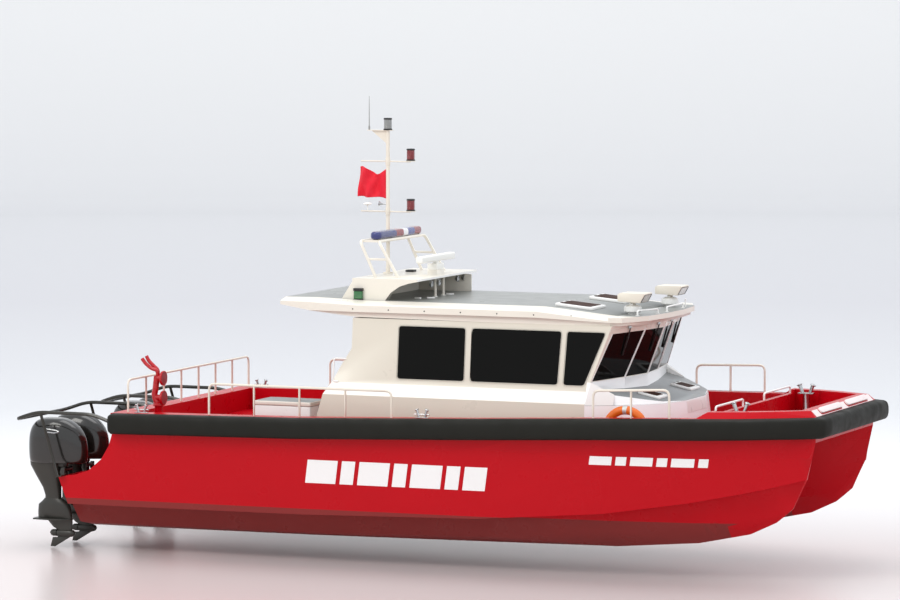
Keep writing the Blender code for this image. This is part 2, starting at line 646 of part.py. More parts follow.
def build_roof():
    rings = []
    for x, y, zb, lip, zt in ROOF_ROWS:
        half = [(y - ROOF_LIP, zb), (y - ROOF_LIP, lip), (y, lip), (y, zt - 0.02), (y - 0.06, zt), (1.25, zt + ROOF_CROWN)]
        rings.append([(x, v, z) for v, z in half] + [(x, -v, z) for v, z in reversed(half)])
    ob = loft("roof", rings, "cream")
    # the nose follows the facets of the windscreen; its lower step is set back above the header
    steps = [(2.9853, 3.060, [(3.005, 1.578), (3.16, 1.50), (3.38, 0.98), (3.45, 0.33)]),
             (3.036, NOSE_TOP, [(3.01, 1.640), (3.20, 1.56), (3.43, 1.02), (3.50, 0.33)])]
    for low, high, nose in steps:
        front = prism("roof_nose", nose + [(x, -y) for x, y in reversed(nose)], "XY", low, high, None)
        unite(ob, [front.data])
        bpy.data.objects.remove(front)
    return ob


PLATFORM = (-1.345, -0.26)   # aft and fore edge of the radar platform
PLATFORM_TOP = 3.56
RADAR_X = -0.46


def build_roof_gear():
    # the transverse radar platform stands on two fins and an upright wall between them
    aft, fore = PLATFORM
    plat = [(aft, 3.4997), (fore - 0.14, 3.4997), (fore, 3.53), (fore, PLATFORM_TOP), (aft, PLATFORM_TOP)]
    ob = prism("radar_platform", plat, "XZ", -1.20, 1.20, "cream")
    fin = [(-1.52, roof_top(-1.52) + GAP), (aft, 3.51), (-0.38, 3.51), (-0.56, 3.45), (-0.71, 3.35),
           (-0.80, roof_top(-0.80) + GAP), (-1.10, roof_top(-1.10) + GAP)]
    fins = [loft_bm([[(x, y0, z) for x, z in fin], [(x, y1, z) for x, z in fin]])
            for y0, y1 in ((-1.20, -1.06), (1.06, 1.20))]
    fins.append(loft_bm([[(x, y, z) for x, z in ((-1.23, roof_top(-1.23) + GAP), (-1.23, 3.51), (-1.19, 3.51),
                                                 (-1.19, roof_top(-1.19) + GAP))] for y in (-1.07, 1.07)]))
    for bm in fins:
        bmesh.ops.recalc_face_normals(bm, faces=bm.faces)
    posts = [cylinder_bm((-0.40, y, roof_top(-0.425) + GAP), (-0.40, y, 3.53), 0.022, seg=8) for y in (-0.16, 0.16)]
    pedestal = box_bm((RADAR_X - 0.08, RADAR_X + 0.08), (-0.14, 0.14), (3.53, 3.735))
    unite(ob, [mesh_of("platform_fin_%d" % k, bm) for k, bm in enumerate(fins)]
          + [mesh_of("platform_posts", join_bm(posts[0], posts[1:])), mesh_of("radar_pedestal", pedestal)])
    hub = empty("radar_axis", (RADAR_X, 0, 3.76))
    bar = box("radar_scanner", (-0.06, 0.06), (-0.66, 0.66), (0.005, 0.115), "white", 0.03)
    bar.parent = hub
    unite(bar, [mesh_of("radar_shaft", cylinder_bm((0, 0, 3.7355 - 3.76), (0, 0, 0.04), 0.05, seg=12))])


def build_arch():
    """Two ladder-like pairs of legs on the radar platform, under one top frame."""
    seat, top = PLATFORM_TOP + GAP, 4.11

    def hoop(x_low, x_high):
        slope = (x_high - x_low) / (top - seat)
        x0 = x_low - slope * 0.06
        return smooth_path([(x0, -0.91, seat - 0.06), (x_high, -0.91, top), (x_high, 0.91, top),
                            (x0, 0.91, seat - 0.06)], 0.08)
    ob = add("arch", tube_mesh("arch", hoop(-1.08, -1.34), 0.024, 1), "cream")
    bits = []
    for y in (-0.83, -0.30, 0.30, 0.83):
        bits.append(box_bm((-1.34, -1.03), (y - 0.018, y + 0.018), (top - 0.018, top + 0.018)))
    for y in (-0.91, 0.91):
        bits.append(cylinder_bm((-1.211, y, 3.838), (-0.866, y, 3.838), 0.018, seg=8))
    unite(ob, [tube_mesh("arch_front", hoop(-0.70, -1.03), 0.024, 1),
               mesh_of("arch_rungs", join_bm(bits[0], bits[1:]))])
    cut(ob, [box("cut_arch_feet", (-1.4, -0.4), (-1.1, 1.1), (3.3, seat), None)])
    box("light_bar", (-1.215, -1.035), (-0.86, 0.86), (top + 0.018 + GAP, top + 0.144), "blue", 0.03)


MAST_X = -1.265
MAST_R = 0.030
LAMP_X = -0.88           # the two red lamps on the yards


def build_mast():
    foot = PLATFORM_TOP + GAP
    ob = cylinder("mast", (MAST_X, 0, foot), (MAST_X, 0, 5.78), MAST_R, "cream", seg=12)
    # foot flange, fore-and-aft yards with a lamp on each, bracket plate, top lamp and whip
    bits = [cylinder_bm((MAST_X, 0, foot), (MAST_X, 0, foot + 0.03), 0.075, seg=12)]
    for z in (5.30, 4.52):
        bits.append(box_bm((-1.72, LAMP_X + 0.09), (-0.022, 0.022), (z - 0.012, z + 0.012)))
        bits.append(cylinder_bm((LAMP_X, 0, z + 0.008), (LAMP_X, 0, z + 0.024), 0.075, seg=12))
        bits.append(cylinder_bm((LAMP_X, 0, z + 0.015), (LAMP_X, 0, z + 0.19), 0.062, seg=12))
    bits.append(box_bm((-1.60, MAST_X + 0.08), (-0.05, 0.05), (5.77, 5.79)))
    bits.append(cylinder_bm((MAST_X, 0, 5.78), (MAST_X, 0, 5.975), 0.065, seg=12))
    bits.append(cylinder_bm((-1.58, 0, 5.78), (-1.58, 0, 6.31), 0.009, 0.004, 8))
    unite(ob, [mesh_of("mast_bit_%02d" % k, b) for k, b in enumerate(bits)])
    hoist = MAST_X - MAST_R - GAP
    flag = [(0.0, 4.72), (0.0, 5.16), (-0.07, 5.10), (-0.21, 5.14), (-0.44, 5.15), (-0.40, 5.02),
            (-0.47, 4.80), (-0.27, 4.76), (-0.15, 4.84)]
    prism("flag", [(hoist + x, z) for x, z in flag], "XZ", -0.02, 0.02, "flag_red")


SEARCH_FOOT = NOSE_TOP + GAP     # the searchlights' seat, just over the roof


def build_searchlights():
    """A box-shaped lamp on a faceted drum, which pans; the lamp tilts between the drum's two ears."""
    x, pan_z, tilt_z = 3.10, 3.14, 3.275
    drum = [(0.070, SEARCH_FOOT), (0.070, 3.134), (0.108, 3.139), (0.130, 3.158), (0.130, 3.215), (0.100, 3.240)]
    for side, s in (("starboard", -1), ("port", 1)):
        pan = empty("searchlight_pan_" + side, (x, s * 0.82, pan_z))
        rings = [[(r * cos(2 * pi * k / 12), r * sin(2 * pi * k / 12), z - pan_z) for k in range(12)] for r, z in drum]
        yoke = loft("searchlight_yoke_" + side, rings, "white", parent=None)
        yoke.parent = pan
        unite(yoke, [mesh_of("ear", box_bm((-0.025, 0.025), sorted((t * 0.0553, t * 0.080)), (0.07, 0.140)))
                     for t in (-1, 1)])
        tilt = empty("searchlight_tilt_" + side, (x, s * 0.82, tilt_z), pan)
        outline = [(-0.17, 0.036), (0.175, 0.020), (0.25, 0.15), (0.24, 0.165), (-0.15, 0.165), (-0.185, 0.14), (-0.185, 0.05)]
        head = prism("searchlight_head_" + side, outline, "XZ", -0.17, 0.17, "white")
        head.parent = tilt
        unite(head, [mesh_of("knuckle", cylinder_bm((0, -0.055, 0), (0, 0.055, 0), 0.024, seg=12)),
                     mesh_of("tongue", box_bm((-0.020, 0.020), (-0.050, 0.050), (0.0, 0.05)))])


def build_trunk():
    """The low trunk cabin ahead of the windscreen: a nose in facets under a sloping top."""
    plan = [(2.6953 + GAP, 1.80), (3.10, 1.60), (3.45, 1.26), (3.66, 1.02), (3.82, 0.44)]
    foot = [(x + (0.08 if x > 3.3 else 0.0), y + 0.02) for x, y in plan]
    low = [(x, y, DECK_Z + GAP) for x, y in foot] + [(x, -y, DECK_Z + GAP) for x, y in reversed(foot)]
    high = [(x, y, 1.80) for x, y in plan] + [(x, -y, 1.80) for x, y in reversed(plan)]
    ob = loft("foredeck_trunk", [low, high], "white")
    wedge = [(2.60, 1.78), (2.60, trunk_slope(2.60)), (3.81, trunk_slope(3.81)), (3.81, 1.78)]
    top = hide(prism("trunk_top", wedge, "XZ", -1.70, 1.70, None))
    keep = [(2.75, 1.681), (3.10, 1.545), (3.44, 1.235), (3.65, 1.005), (3.805, 0.43)]
    shape = hide(prism("trunk_plan", keep + [(x, -y) for x, y in reversed(keep)], "XY", 1.0, 2.5, None))
    boolean(top, shape, "INTERSECT")
    boolean(ob, top, "UNION")
    sill = [(2.755, 1.66)] + [(x + 0.015, y) for y, x in WIND_FOOT[1:-1]] + [(2.755, -1.66)]
    boolean(ob, hide(prism("trunk_sill", sill, "XY", 1.79, 2.1447, None)), "UNION")
    return ob


def trunk_slope(x):
    return 1.93 + (1.801 - 1.93) * (x - 3.18) / (3.79 - 3.18)


def build_hatches():
    for side, s in (("starboard", -1), ("port", 1)):
        a, b = 3.22, 3.56
        pts = [(a, trunk_slope(a) + 0.0004), (b, trunk_slope(b) + 0.0004), (b, trunk_slope(b) + 0.036),
               (a, trunk_slope(a) + 0.036)]
        hinge = empty("trunk_hatch_hinge_" + side, (a, s * 0.72, trunk_slope(a) + 0.04))
        ob = prism("trunk_hatch_" + side, pts, "XZ", *sorted((s * 0.52, s * 0.92)), "glass_black")
        ob.parent = hinge
        ob.location = -hinge.location
        a, b = 1.92, 2.52
        za, zb = roof_top(a) + GAP, roof_top(b) + GAP
        hinge = empty("roof_hatch_hinge_" + side, (a, s * 0.72, za + 0.045))
        ob = prism("roof_hatch_" + side, [(a, za), (b, zb), (b, zb + 0.045), (a, za + 0.045)], "XZ",
                   *sorted((s * 0.42, s * 1.02)), "glass_black")
        ob.parent = hinge
        ob.location = -hinge.location


def build_deck_gear():
    for side, s in (("starboard", -1), ("port", 1)):
        bx = box("aft_locker_" + side, (-2.78, -1.82), sorted((s * 1.10, s * 1.72)), (DECK_Z + GAP, 1.67), "white", 0.02)
        # a post on the floor of the bow well, with a plate and two splayed horns on its head
        x, y, foot, head = 5.07, s * 1.55, BOW_WELL_Z + GAP, 1.785
        ob = cylinder("bow_bitt_" + side, (x, y, foot), (x, y, head), 0.055, "steel", seg=12)
        bits = [cylinder_bm((x, y, foot), (x, y, foot + 0.015), 0.10, seg=12),
                box_bm((x - 0.12, x + 0.12), (y - 0.055, y + 0.055), (head - 0.018, head))]
        for t in (-1, 1):
            bits.append(cylinder_bm((x + t * 0.055, y, head - 0.015), (x + t * 0.105, y, 1.90), 0.024, 0.030, 10))
        unite(ob, [mesh_of("bitt_bits", b) for b in bits])
    # the life ring stands on the side deck beside the trunk
    ring = []
    for k in range(24):
        t = 2 * pi * k / 24
        ring.append(Vector((3.41 + 0.30 * cos(t), -1.95, DECK_Z + 0.3575 + 0.30 * sin(t))))
    add("life_ring", tube_mesh("life_ring", ring, 0.066, 1, True), "orange")


def build_monitor():
    x, y = -4.40, -1.72
    ob = cylinder("monitor_riser", (x, y, DECK_Z + GAP), (x, y, 1.55), 0.065, "monitor_red", seg=16)
    unite(ob, [mesh_of("flange", cylinder_bm((x, y, DECK_Z + GAP), (x, y, DECK_Z + 0.02), 0.13, seg=16)),
               mesh_of("flange", cylinder_bm((x, y, 1.525), (x, y, 1.55), 0.09, seg=16))])
    swivel = empty("monitor_swivel", (x, y, 1.60))
    body = add("monitor_body", tube_mesh("monitor_body", [(x, y, 1.5503), (x, y, 1.74), (x, y, 1.95)], 0.055, 2),
               "monitor_red")
    body.parent = swivel
    body.location = -swivel.location
    bits = [cylinder_bm((x, y, 1.5503), (x, y, 1.58), 0.085, seg=16),
            cylinder_bm((x, y, 1.63), (x + 0.12, y, 1.63), 0.045, seg=12),
            cylinder_bm((x + 0.10, y, 1.63), (x + 0.13, y, 1.63), 0.12, seg=16),
            cylinder_bm((x, y, 1.90), (x + 0.12, y, 1.90), 0.045, seg=12),
            cylinder_bm((x + 0.10, y, 1.90), (x + 0.13, y, 1.90), 0.12, seg=16),
            cylinder_bm((x, y - 0.10, 1.95), (x, y + 0.10, 1.95), 0.060, seg=16)]
    unite(body, [mesh_of("bit", b) for b in bits])
    tilt = empty("monitor_tilt", (x, y, 1.95), swivel)
    path = [(x, y + 0.155, 1.95), (x, y + 0.155, 2.06), (x - 0.10, y + 0.155, 2.16), (x - 0.24, y + 0.155, 2.29)]
    barrel = add("monitor_barrel", tube_mesh("barrel", smooth_path(path, 0.08), 0.042, 2), "monitor_red")
    barrel.parent = tilt
    barrel.location = -Vector((x, y, 1.95))
    unite(barrel, [mesh_of("collar", cylinder_bm((x, y + 0.1003, 1.95), (x, y + 0.20, 1.95), 0.06, seg=16))])


# Outboards.
def build_outboards():
    for side, s in (("starboard", -1), ("port", 1)):
        # mounting plate down the raked transom with a pair of ears for each engine
        off = 0.0006
        zt, zb = 0.37, -0.06
        plate = [(transom_x(zt) - off, zt), (transom_x(zt) - off - 0.025, zt), (transom_x(zb) - off - 0.025, zb),
                 (transom_x(zb) - off, zb)]
        mount = prism("engine_mount_" + side, plate, "XZ", *sorted((s * 0.90, s * 2.04)), "dark_tube")
        ears = []
        ear = [(transom_x(0.0) - off - 0.01, 0.0), (transom_x(0.34) - off - 0.01, 0.34), (-5.925, 0.425), (-5.925, 0.515),
               (-5.985, 0.515), (-6.005, 0.44), (transom_x(0.0) - off - 0.06, 0.0)]
        for e in ENGINE_Y:
            for t in (-1, 1):
                lo, hi = sorted((s * e + t * 0.125, s * e + t * 0.150))
                ears.append(loft_bm([[(x, lo, z) for x, z in ear], [(x, hi, z) for x, z in ear]]))
        for k, bm in enumerate(ears):
            bmesh.ops.recalc_face_normals(bm, faces=bm.faces)
        unite(mount, [mesh_of("ears", join_bm(ears[0], ears[1:]))])
        for n, e in enumerate(ENGINE_Y):
            one_outboard("%s_%s" % (side, ("inner", "outer")[n]), s * e)


SKEG = [(-6.115, -0.57), (-6.13, -0.598), (-6.21, -0.60), (-6.25, -0.75), (-6.17, -0.75), (-5.87, -0.57)]


def one_outboard(tag, y):
    tilt = empty("tilt_axis_" + tag, (TILT_AXIS[0], y, TILT_AXIS[1]))
    # swivel bracket: the tilt tube across, and the steering tube down behind it
    sw = cylinder("swivel_bracket_" + tag, (0, -0.1247, 0), (0, 0.1247, 0), 0.032, "dark_tube", seg=12)
    sw.parent = tilt
    sx = STEER_X - TILT_AXIS[0]
    bits = [cylinder_bm((sx, 0, -0.45), (sx, 0, 0.0397), 0.045, seg=12),
            box_bm((sx, 0.0), (-0.035, 0.035), (-0.20, 0.02))]
    unite(sw, [mesh_of("bit", b) for b in bits])
    steer = empty("steer_axis_" + tag, (STEER_X, y, TILT_AXIS[1]), tilt)
    z = lambda h: h - TILT_AXIS[1]
    x = lambda a: a - STEER_X
    # cowl: rows of height, aft x, forward x, half breadth aft, middle and front
    cowl = [(0.585, -6.56, -5.60, 0.19, 0.235, 0.13), (0.90, -6.56, -5.61, 0.20, 0.245, 0.13),
            (1.10, -6.50, -5.68, 0.185, 0.235, 0.12), (1.22, -6.38, -5.80, 0.15, 0.20, 0.11),
            (1.285, -6.25, -6.00, 0.08, 0.11, 0.08)]
    rings = []
    for h, xa, xf, wa, wm, wf in cowl:
        xm = (xa + xf) / 2
        half = [(xa, wa * 0.6), (xa + 0.05, wa), (xm, wm), (xf - 0.10, wf * 1.15), (xf, wf * 0.7)]
        rings.append([(x(a), b, z(h)) for a, b in half] + [(x(a), -b, z(h)) for a, b in reversed(half)])
    bm = loft_bm(rings)
    bmesh.ops.recalc_face_normals(bm, faces=bm.faces)
    me = mesh_of("cowl", bm)
    eng = add("outboard_" + tag, me, "engine")
    eng.parent = steer
    # leg, lower case, plate, gearcase and skeg: sections of height, aft x, front x, half breadth
    def slab(rows):
        rs = []
        for h, xa, xf, w in rows:
            half = [(xa, w * 0.5), (xa + 0.06, w), (xf - 0.06, w), (xf, w * 0.45)]
            rs.append([(x(a), b, z(h)) for a, b in half] + [(x(a), -b, z(h)) for a, b in reversed(half)])
        b = loft_bm(rs)
        bmesh.ops.recalc_face_normals(b, faces=b.faces)
        return b
    whole = [(0.60, -6.50, -6.065, 0.13), (0.36, -6.44, -6.065, 0.10), (0.06, -6.33, -6.065, 0.07),
             (-0.01, -6.33, -6.06, 0.068), (-0.09, -6.45, -5.90, 0.085), (-0.312, -6.46, -5.86, 0.075),
             (-0.44, -6.20, -5.86, 0.045), (-0.466, -6.19, -5.865, 0.042), (-0.4675, -6.115, -5.865, 0.042),
             (-0.517, -6.10, -5.88, 0.033)]
    yoke = [(x(-6.12), -0.05), (x(-6.12), 0.05), (x(-5.99), 0.05), (x(-5.945), 0.03), (x(-5.945), -0.03), (x(-5.99), -0.05)]
    bits = [slab(whole),
            loft_bm([[(a, b, z(0.515)) for a, b in yoke], [(a, b, z(0.59)) for a, b in yoke]]),
            box_bm((x(-6.52), x(-5.86)), (-0.14, 0.14), (z(-0.325), z(-0.30))),
            loft_bm([[(x(a), r * cos(2 * pi * k / 12), z(HUB_Z) + r * sin(2 * pi * k / 12)) for k in range(12)]
                     for a, r in ((-6.13, 0.055), (-6.05, 0.062), (-5.88, 0.060), (-5.80, 0.040), (-5.76, 0.012))]),
            loft_bm([[(x(a), t * 0.011, z(h)) for a, h in SKEG] for t in (-1, 1)])]
    for b in bits:
        bmesh.ops.recalc_face_normals(b, faces=b.faces)
    unite(eng, [mesh_of("bit", b) for b in bits])
    hub = empty("propeller_axis_" + tag, (-6.19, y, HUB_Z), steer)
    cylinder("propeller_hub_" + tag, (-0.06, 0, 0), (0.0597, 0, 0), 0.055, "engine", seg=12).parent = hub


build_hull()
build_bulwark()
build_fender()
build_rails()
build_engine_guards()
side_wall("starboard")
side_wall("port")
build_windscreen()
build_glazing()
build_aft_wall()
build_roof()
build_roof_gear()
build_arch()
build_mast()
build_searchlights()
build_trunk()
build_hatches()
build_deck_gear()
build_monitor()
build_outboards()
bpy.context.view_layer.update()
for ob in parts.objects:
    if ob.type == "MESH":
        ob.data.shade_smooth()
        ob.data.set_sharp_from_angle(angle=radians(35))
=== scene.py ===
"""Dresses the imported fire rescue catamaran: finishes on the CAD nodes, and the pieces that ride on them.

Metres, in the CAD's frame: X forward, Y to port, Z up, with the origin on the centreline at the waterline.
"""
import json
import logging
import math
from dataclasses import dataclass
from enum import Enum
from typing import Optional, Sequence

import bmesh
import bpy
from mathutils import Matrix, Vector
from mathutils.bvhtree import BVHTree

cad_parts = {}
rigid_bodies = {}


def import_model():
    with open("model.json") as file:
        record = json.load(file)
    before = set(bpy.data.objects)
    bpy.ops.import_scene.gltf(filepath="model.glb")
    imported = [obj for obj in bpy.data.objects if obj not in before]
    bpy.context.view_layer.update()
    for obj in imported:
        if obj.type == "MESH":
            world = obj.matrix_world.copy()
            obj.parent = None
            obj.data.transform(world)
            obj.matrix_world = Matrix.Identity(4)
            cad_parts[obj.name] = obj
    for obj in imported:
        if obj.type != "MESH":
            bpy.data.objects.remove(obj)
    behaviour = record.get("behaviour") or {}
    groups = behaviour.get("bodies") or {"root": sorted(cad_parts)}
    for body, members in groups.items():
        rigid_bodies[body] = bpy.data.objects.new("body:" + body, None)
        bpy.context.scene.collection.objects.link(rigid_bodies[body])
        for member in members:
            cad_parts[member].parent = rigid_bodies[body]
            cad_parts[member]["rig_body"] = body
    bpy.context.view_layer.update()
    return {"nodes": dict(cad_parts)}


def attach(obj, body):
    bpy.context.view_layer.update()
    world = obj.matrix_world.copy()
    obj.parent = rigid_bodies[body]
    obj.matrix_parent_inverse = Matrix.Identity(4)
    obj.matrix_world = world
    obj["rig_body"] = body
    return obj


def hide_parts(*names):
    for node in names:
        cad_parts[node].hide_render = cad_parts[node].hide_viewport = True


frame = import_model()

LOG = logging.getLogger("catamaran")
Point = Sequence[float]
WELD = 0.00002  # points closer than this are one point
FLAT = math.radians(0.3)  # faces that turn by less are one face
PROUD = 0.0004  # how far thin pieces stand off what they lie on


class Side(Enum):
    """The two sides of the boat; the value is the sign of Y."""

    STARBOARD = -1
    PORT = 1

    @property
    def word(self) -> str:
        """The side's name as the CAD nodes and bodies spell it."""
        return self.name.lower()


def linear(code: str) -> tuple[float, float, float, float]:
    """Turns an sRGB hex value into the linear colour that Blender's sockets take.

    Args:
        code: six hex digits.

    Returns:
        Red, green, blue and alpha, linear.
    """
    parts = [int(code[k:k + 2], 16) / 255.0 for k in (0, 2, 4)]
    r, g, b = (c / 12.92 if c <= 0.04045 else ((c + 0.055) / 1.055) ** 2.4 for c in parts)
    return r, g, b, 1.0


def node(tree: bpy.types.NodeTree, kind: str, links: Optional[dict] = None, **settings) -> bpy.types.Node:
    """Adds one shader node.

    Args:
        tree: the material's node tree.
        kind: the node's type name.
        links: input socket to either a value or the output socket that feeds it.
        settings: the node's own options.

    Returns:
        The new node.
    """
    made = tree.nodes.new(kind)
    for key, value in settings.items():
        setattr(made, key, value)
    for socket, value in (links or {}).items():
        if isinstance(value, bpy.types.NodeSocket):
            tree.links.new(value, made.inputs[socket])
        else:
            made.inputs[socket].default_value = value
    return made


def maths(tree: bpy.types.NodeTree, word: str, *values) -> bpy.types.NodeSocket:
    """Adds a math node and returns its socket; each value is a number or a socket."""
    return node(tree, "ShaderNodeMath", dict(enumerate(values)), operation=word).outputs[0]


def mixed(tree: bpy.types.NodeTree, share, first, second) -> bpy.types.NodeSocket:
    """Mixes two colours, and returns the socket; each value is a number, a colour or a socket."""
    return node(tree, "ShaderNodeMix", {0: share, 6: first, 7: second}, data_type="RGBA").outputs[2]


def axes(tree: bpy.types.NodeTree, place: bpy.types.NodeSocket) -> list[bpy.types.NodeSocket]:
    """Splits a vector socket into its X, Y and Z sockets."""
    return list(node(tree, "ShaderNodeSeparateXYZ", {0: place}).outputs)


def bumped(tree: bpy.types.NodeTree, height: bpy.types.NodeSocket, strength: float,
           depth: float) -> bpy.types.NodeSocket:
    """Turns a height into a normal socket; the depth is in metres."""
    links = {"Height": height, "Strength": strength, "Distance": depth}
    return node(tree, "ShaderNodeBump", links).outputs["Normal"]


def every(tree: bpy.types.NodeTree, tests: Sequence[tuple]) -> bpy.types.NodeSocket:
    """Multiplies comparisons together.

    Args:
        tree: the material's node tree.
        tests: for each comparison its socket, its limit and its operation.

    Returns:
        The socket that is 1 where all of them hold.
    """
    out = None
    for value, limit, word in tests:
        test = maths(tree, word, value, limit)
        out = test if out is None else maths(tree, "MULTIPLY", out, test)
    return out


@dataclass(frozen=True)
class Finish:
    """A real surface: its tone, its gloss, and the grain that its making leaves.

    The tone drifts a little over wander_m, as paint and plastic do; grain_mm is the real size of the relief.
    The slot is the record's material slot that the finish usually shows.
    """

    name: str
    colour: str
    roughness: float
    slot: str
    grain_mm: float
    grain: float
    drift: float
    metallic: float = 0.0
    coat: float = 0.0
    wander_m: float = 0.7
    specular: float = 0.5

    def tone(self, tree: bpy.types.NodeTree, place: bpy.types.NodeSocket) -> bpy.types.NodeSocket:
        """Returns the colour socket: the finish's own colour, drifting a little."""
        return self.drifted(tree, place, self.colour)

    def drifted(self, tree: bpy.types.NodeTree, place: bpy.types.NodeSocket,
            code: str) -> bpy.types.NodeSocket:
        """Mixes a colour with a darker copy of itself by a slow noise.

        Args:
            tree: the material's node tree.
            place: Object coordinates.
            code: the colour's sRGB hex value.

        Returns:
            The mixed colour's socket.
        """
        r, g, b, _ = linear(code)
        low = tuple(c * (1.0 - self.drift) for c in (r, g, b)) + (1.0,)
        high = tuple(min(1.0, c * (1.0 + self.drift * 0.5)) for c in (r, g, b)) + (1.0,)
        noise = node(tree, "ShaderNodeTexNoise", {"Vector": place, "Scale": 1.0 / self.wander_m,
            "Detail": 4.0})
        return mixed(tree, noise.outputs["Fac"], low, high)

    def relief(self, tree: bpy.types.NodeTree, place: bpy.types.NodeSocket) -> bpy.types.NodeSocket:
        """Returns the bump's normal socket: fine grain at its real size."""
        noise = node(tree, "ShaderNodeTexNoise", {"Vector": place, "Scale": 1000.0 / self.grain_mm,
            "Detail": 2.0})
        return bumped(tree, noise.outputs["Fac"], self.grain, self.grain_mm / 1000.0)

    def build(self) -> bpy.types.Material:
        """Makes the material, or returns it if it is made already."""
        if self.name in bpy.data.materials:
            return bpy.data.materials[self.name]
        mat = bpy.data.materials.new(self.name)
        mat.use_nodes = True
        tree = mat.node_tree
        tree.nodes.clear()
        place = node(tree, "ShaderNodeTexCoord").outputs["Object"]
        patch = node(tree, "ShaderNodeTexNoise", {"Vector": place, "Scale": 2.2 / self.wander_m,
            "Detail": 5.0})
        gloss = node(tree, "ShaderNodeMapRange", {0: patch.outputs["Fac"], 1: 0.3, 2: 0.7,
            3: max(0.02, self.roughness * 0.85), 4: min(1.0, self.roughness * 1.15)})
        shader = node(tree, "ShaderNodeBsdfPrincipled", {"Base Color": self.tone(tree, place),
            "Roughness": gloss.outputs[0], "Metallic": self.metallic, "Coat Weight": self.coat,
            "Coat Roughness": 0.06, "Specular IOR Level": self.specular, "Normal": self.relief(tree, place)})
        node(tree, "ShaderNodeOutputMaterial", {"Surface": shader.outputs[0]})
        return mat


@dataclass(frozen=True)
class TwoTone(Finish):
    """A finish with a second colour where its mask is 1."""

    second: str = "808080"

    def mask(self, tree: bpy.types.NodeTree, place: bpy.types.NodeSocket) -> bpy.types.NodeSocket:
        """Returns the socket that is 1 where the second colour shows."""
        raise NotImplementedError

    def tone(self, tree: bpy.types.NodeTree, place: bpy.types.NodeSocket) -> bpy.types.NodeSocket:
        """Returns the first colour, or the second where the mask is 1."""
        first, second = (self.drifted(tree, place, code) for code in (self.colour, self.second))
        return mixed(tree, self.mask(tree, place), first, second)


@dataclass(frozen=True)
class BootTop(TwoTone):
    """Sprayed enamel above the boot-top line, rolled antifouling below it."""

    line_z: float = 0.10
    rise: float = 0.0045
    inner_end_x: float = 4.9
    outer_y: float = 1.62

    def mask(self, tree: bpy.types.NodeTree, place: bpy.types.NodeSocket) -> bpy.types.NodeSocket:
        """Returns 1 below the climbing line; on the hulls' inner sides it stops short of the stems."""
        x, y, z = axes(tree, place)
        line = maths(tree, "MULTIPLY_ADD", x, self.rise, self.line_z)
        outer = maths(tree, "GREATER_THAN", maths(tree, "ABSOLUTE", y), self.outer_y)
        aft = maths(tree, "LESS_THAN", x, self.inner_end_x)
        either = maths(tree, "MAXIMUM", outer, aft)
        return every(tree, [(z, line, "LESS_THAN"), (either, 0.5, "GREATER_THAN")])


@dataclass(frozen=True)
class Tread(TwoTone):
    """Enamel with grey anti-slip paint on the faces that one walks on."""

    up: float = 0.96
    low_z: float = -9.0
    high_z: float = 9.0
    out_y: float = 9.0

    def mask(self, tree: bpy.types.NodeTree, place: bpy.types.NodeSocket) -> bpy.types.NodeSocket:
        """Returns 1 on faces that look up, between the two heights and inside the half breadth."""
        _, _, up = axes(tree, node(tree, "ShaderNodeNewGeometry").outputs["True Normal"])
        _, y, z = axes(tree, place)
        return every(tree, [(up, self.up, "GREATER_THAN"), (z, self.low_z, "GREATER_THAN"),
            (z, self.high_z, "LESS_THAN"), (maths(tree, "ABSOLUTE", y), self.out_y, "LESS_THAN")])


@dataclass(frozen=True)
class Band(TwoTone):
    """Enamel with a second tone between two heights; on the walls it paints the highlight on the sloping
    shelf.
    """

    low_z: float = 0.0
    high_z: float = 1.0

    def mask(self, tree: bpy.types.NodeTree, place: bpy.types.NodeSocket) -> bpy.types.NodeSocket:
        """Returns 1 between the two heights."""
        _, _, z = axes(tree, place)
        return every(tree, [(z, self.low_z, "GREATER_THAN"), (z, self.high_z, "LESS_THAN")])


@dataclass(frozen=True)
class Lenses(Finish):
    """Moulded lamp lenses in a row along Y: ribbed, glossy, one colour after the other."""

    bands: tuple = ()
    rib_mm: float = 14.0

    def tone(self, tree: bpy.types.NodeTree, place: bpy.types.NodeSocket) -> bpy.types.NodeSocket:
        """Returns the colour of the band that Y falls in."""
        _, y, _ = axes(tree, place)
        out = self.drifted(tree, place, self.bands[0][1])
        for low, code in self.bands[1:]:
            out = mixed(tree, maths(tree, "GREATER_THAN", y, low), out, self.drifted(tree, place, code))
        return out

    def relief(self, tree: bpy.types.NodeTree, place: bpy.types.NodeSocket) -> bpy.types.NodeSocket:
        """Returns the ribs of the moulded lens, across its length."""
        wave = node(tree, "ShaderNodeTexWave", {"Vector": place, "Scale": 1000.0 / self.rib_mm / 2.0},
                    bands_direction="Y", wave_profile="SIN")
        return bumped(tree, wave.outputs["Fac"], 0.35, 0.003)


@dataclass(frozen=True)
class Ribbed(Finish):
    """A moulded lens with rings round it, one above the other."""

    rib_mm: float = 12.0

    def relief(self, tree: bpy.types.NodeTree, place: bpy.types.NodeSocket) -> bpy.types.NodeSocket:
        """Returns the rings of the lens."""
        wave = node(tree, "ShaderNodeTexWave", {"Vector": place, "Scale": 1000.0 / self.rib_mm / 2.0},
                    bands_direction="Z", wave_profile="SIN")
        return bumped(tree, wave.outputs["Fac"], 0.5, 0.004)


@dataclass(frozen=True)
class Woven(Finish):
    """Plain-woven cloth; the threads are drawn 4 mm apart, because real ones are too fine to show."""

    thread_mm: float = 4.0

    def relief(self, tree: bpy.types.NodeTree, place: bpy.types.NodeSocket) -> bpy.types.NodeSocket:
        """Returns the weave: two waves at right angles."""
        heights = [node(tree, "ShaderNodeTexWave", {"Vector": place, "Scale": 1000.0 / self.thread_mm / 2.0},
                        bands_direction=way).outputs["Fac"] for way in ("X", "Z")]
        return bumped(tree, maths(tree, "MULTIPLY", *heights), 0.4, 0.001)


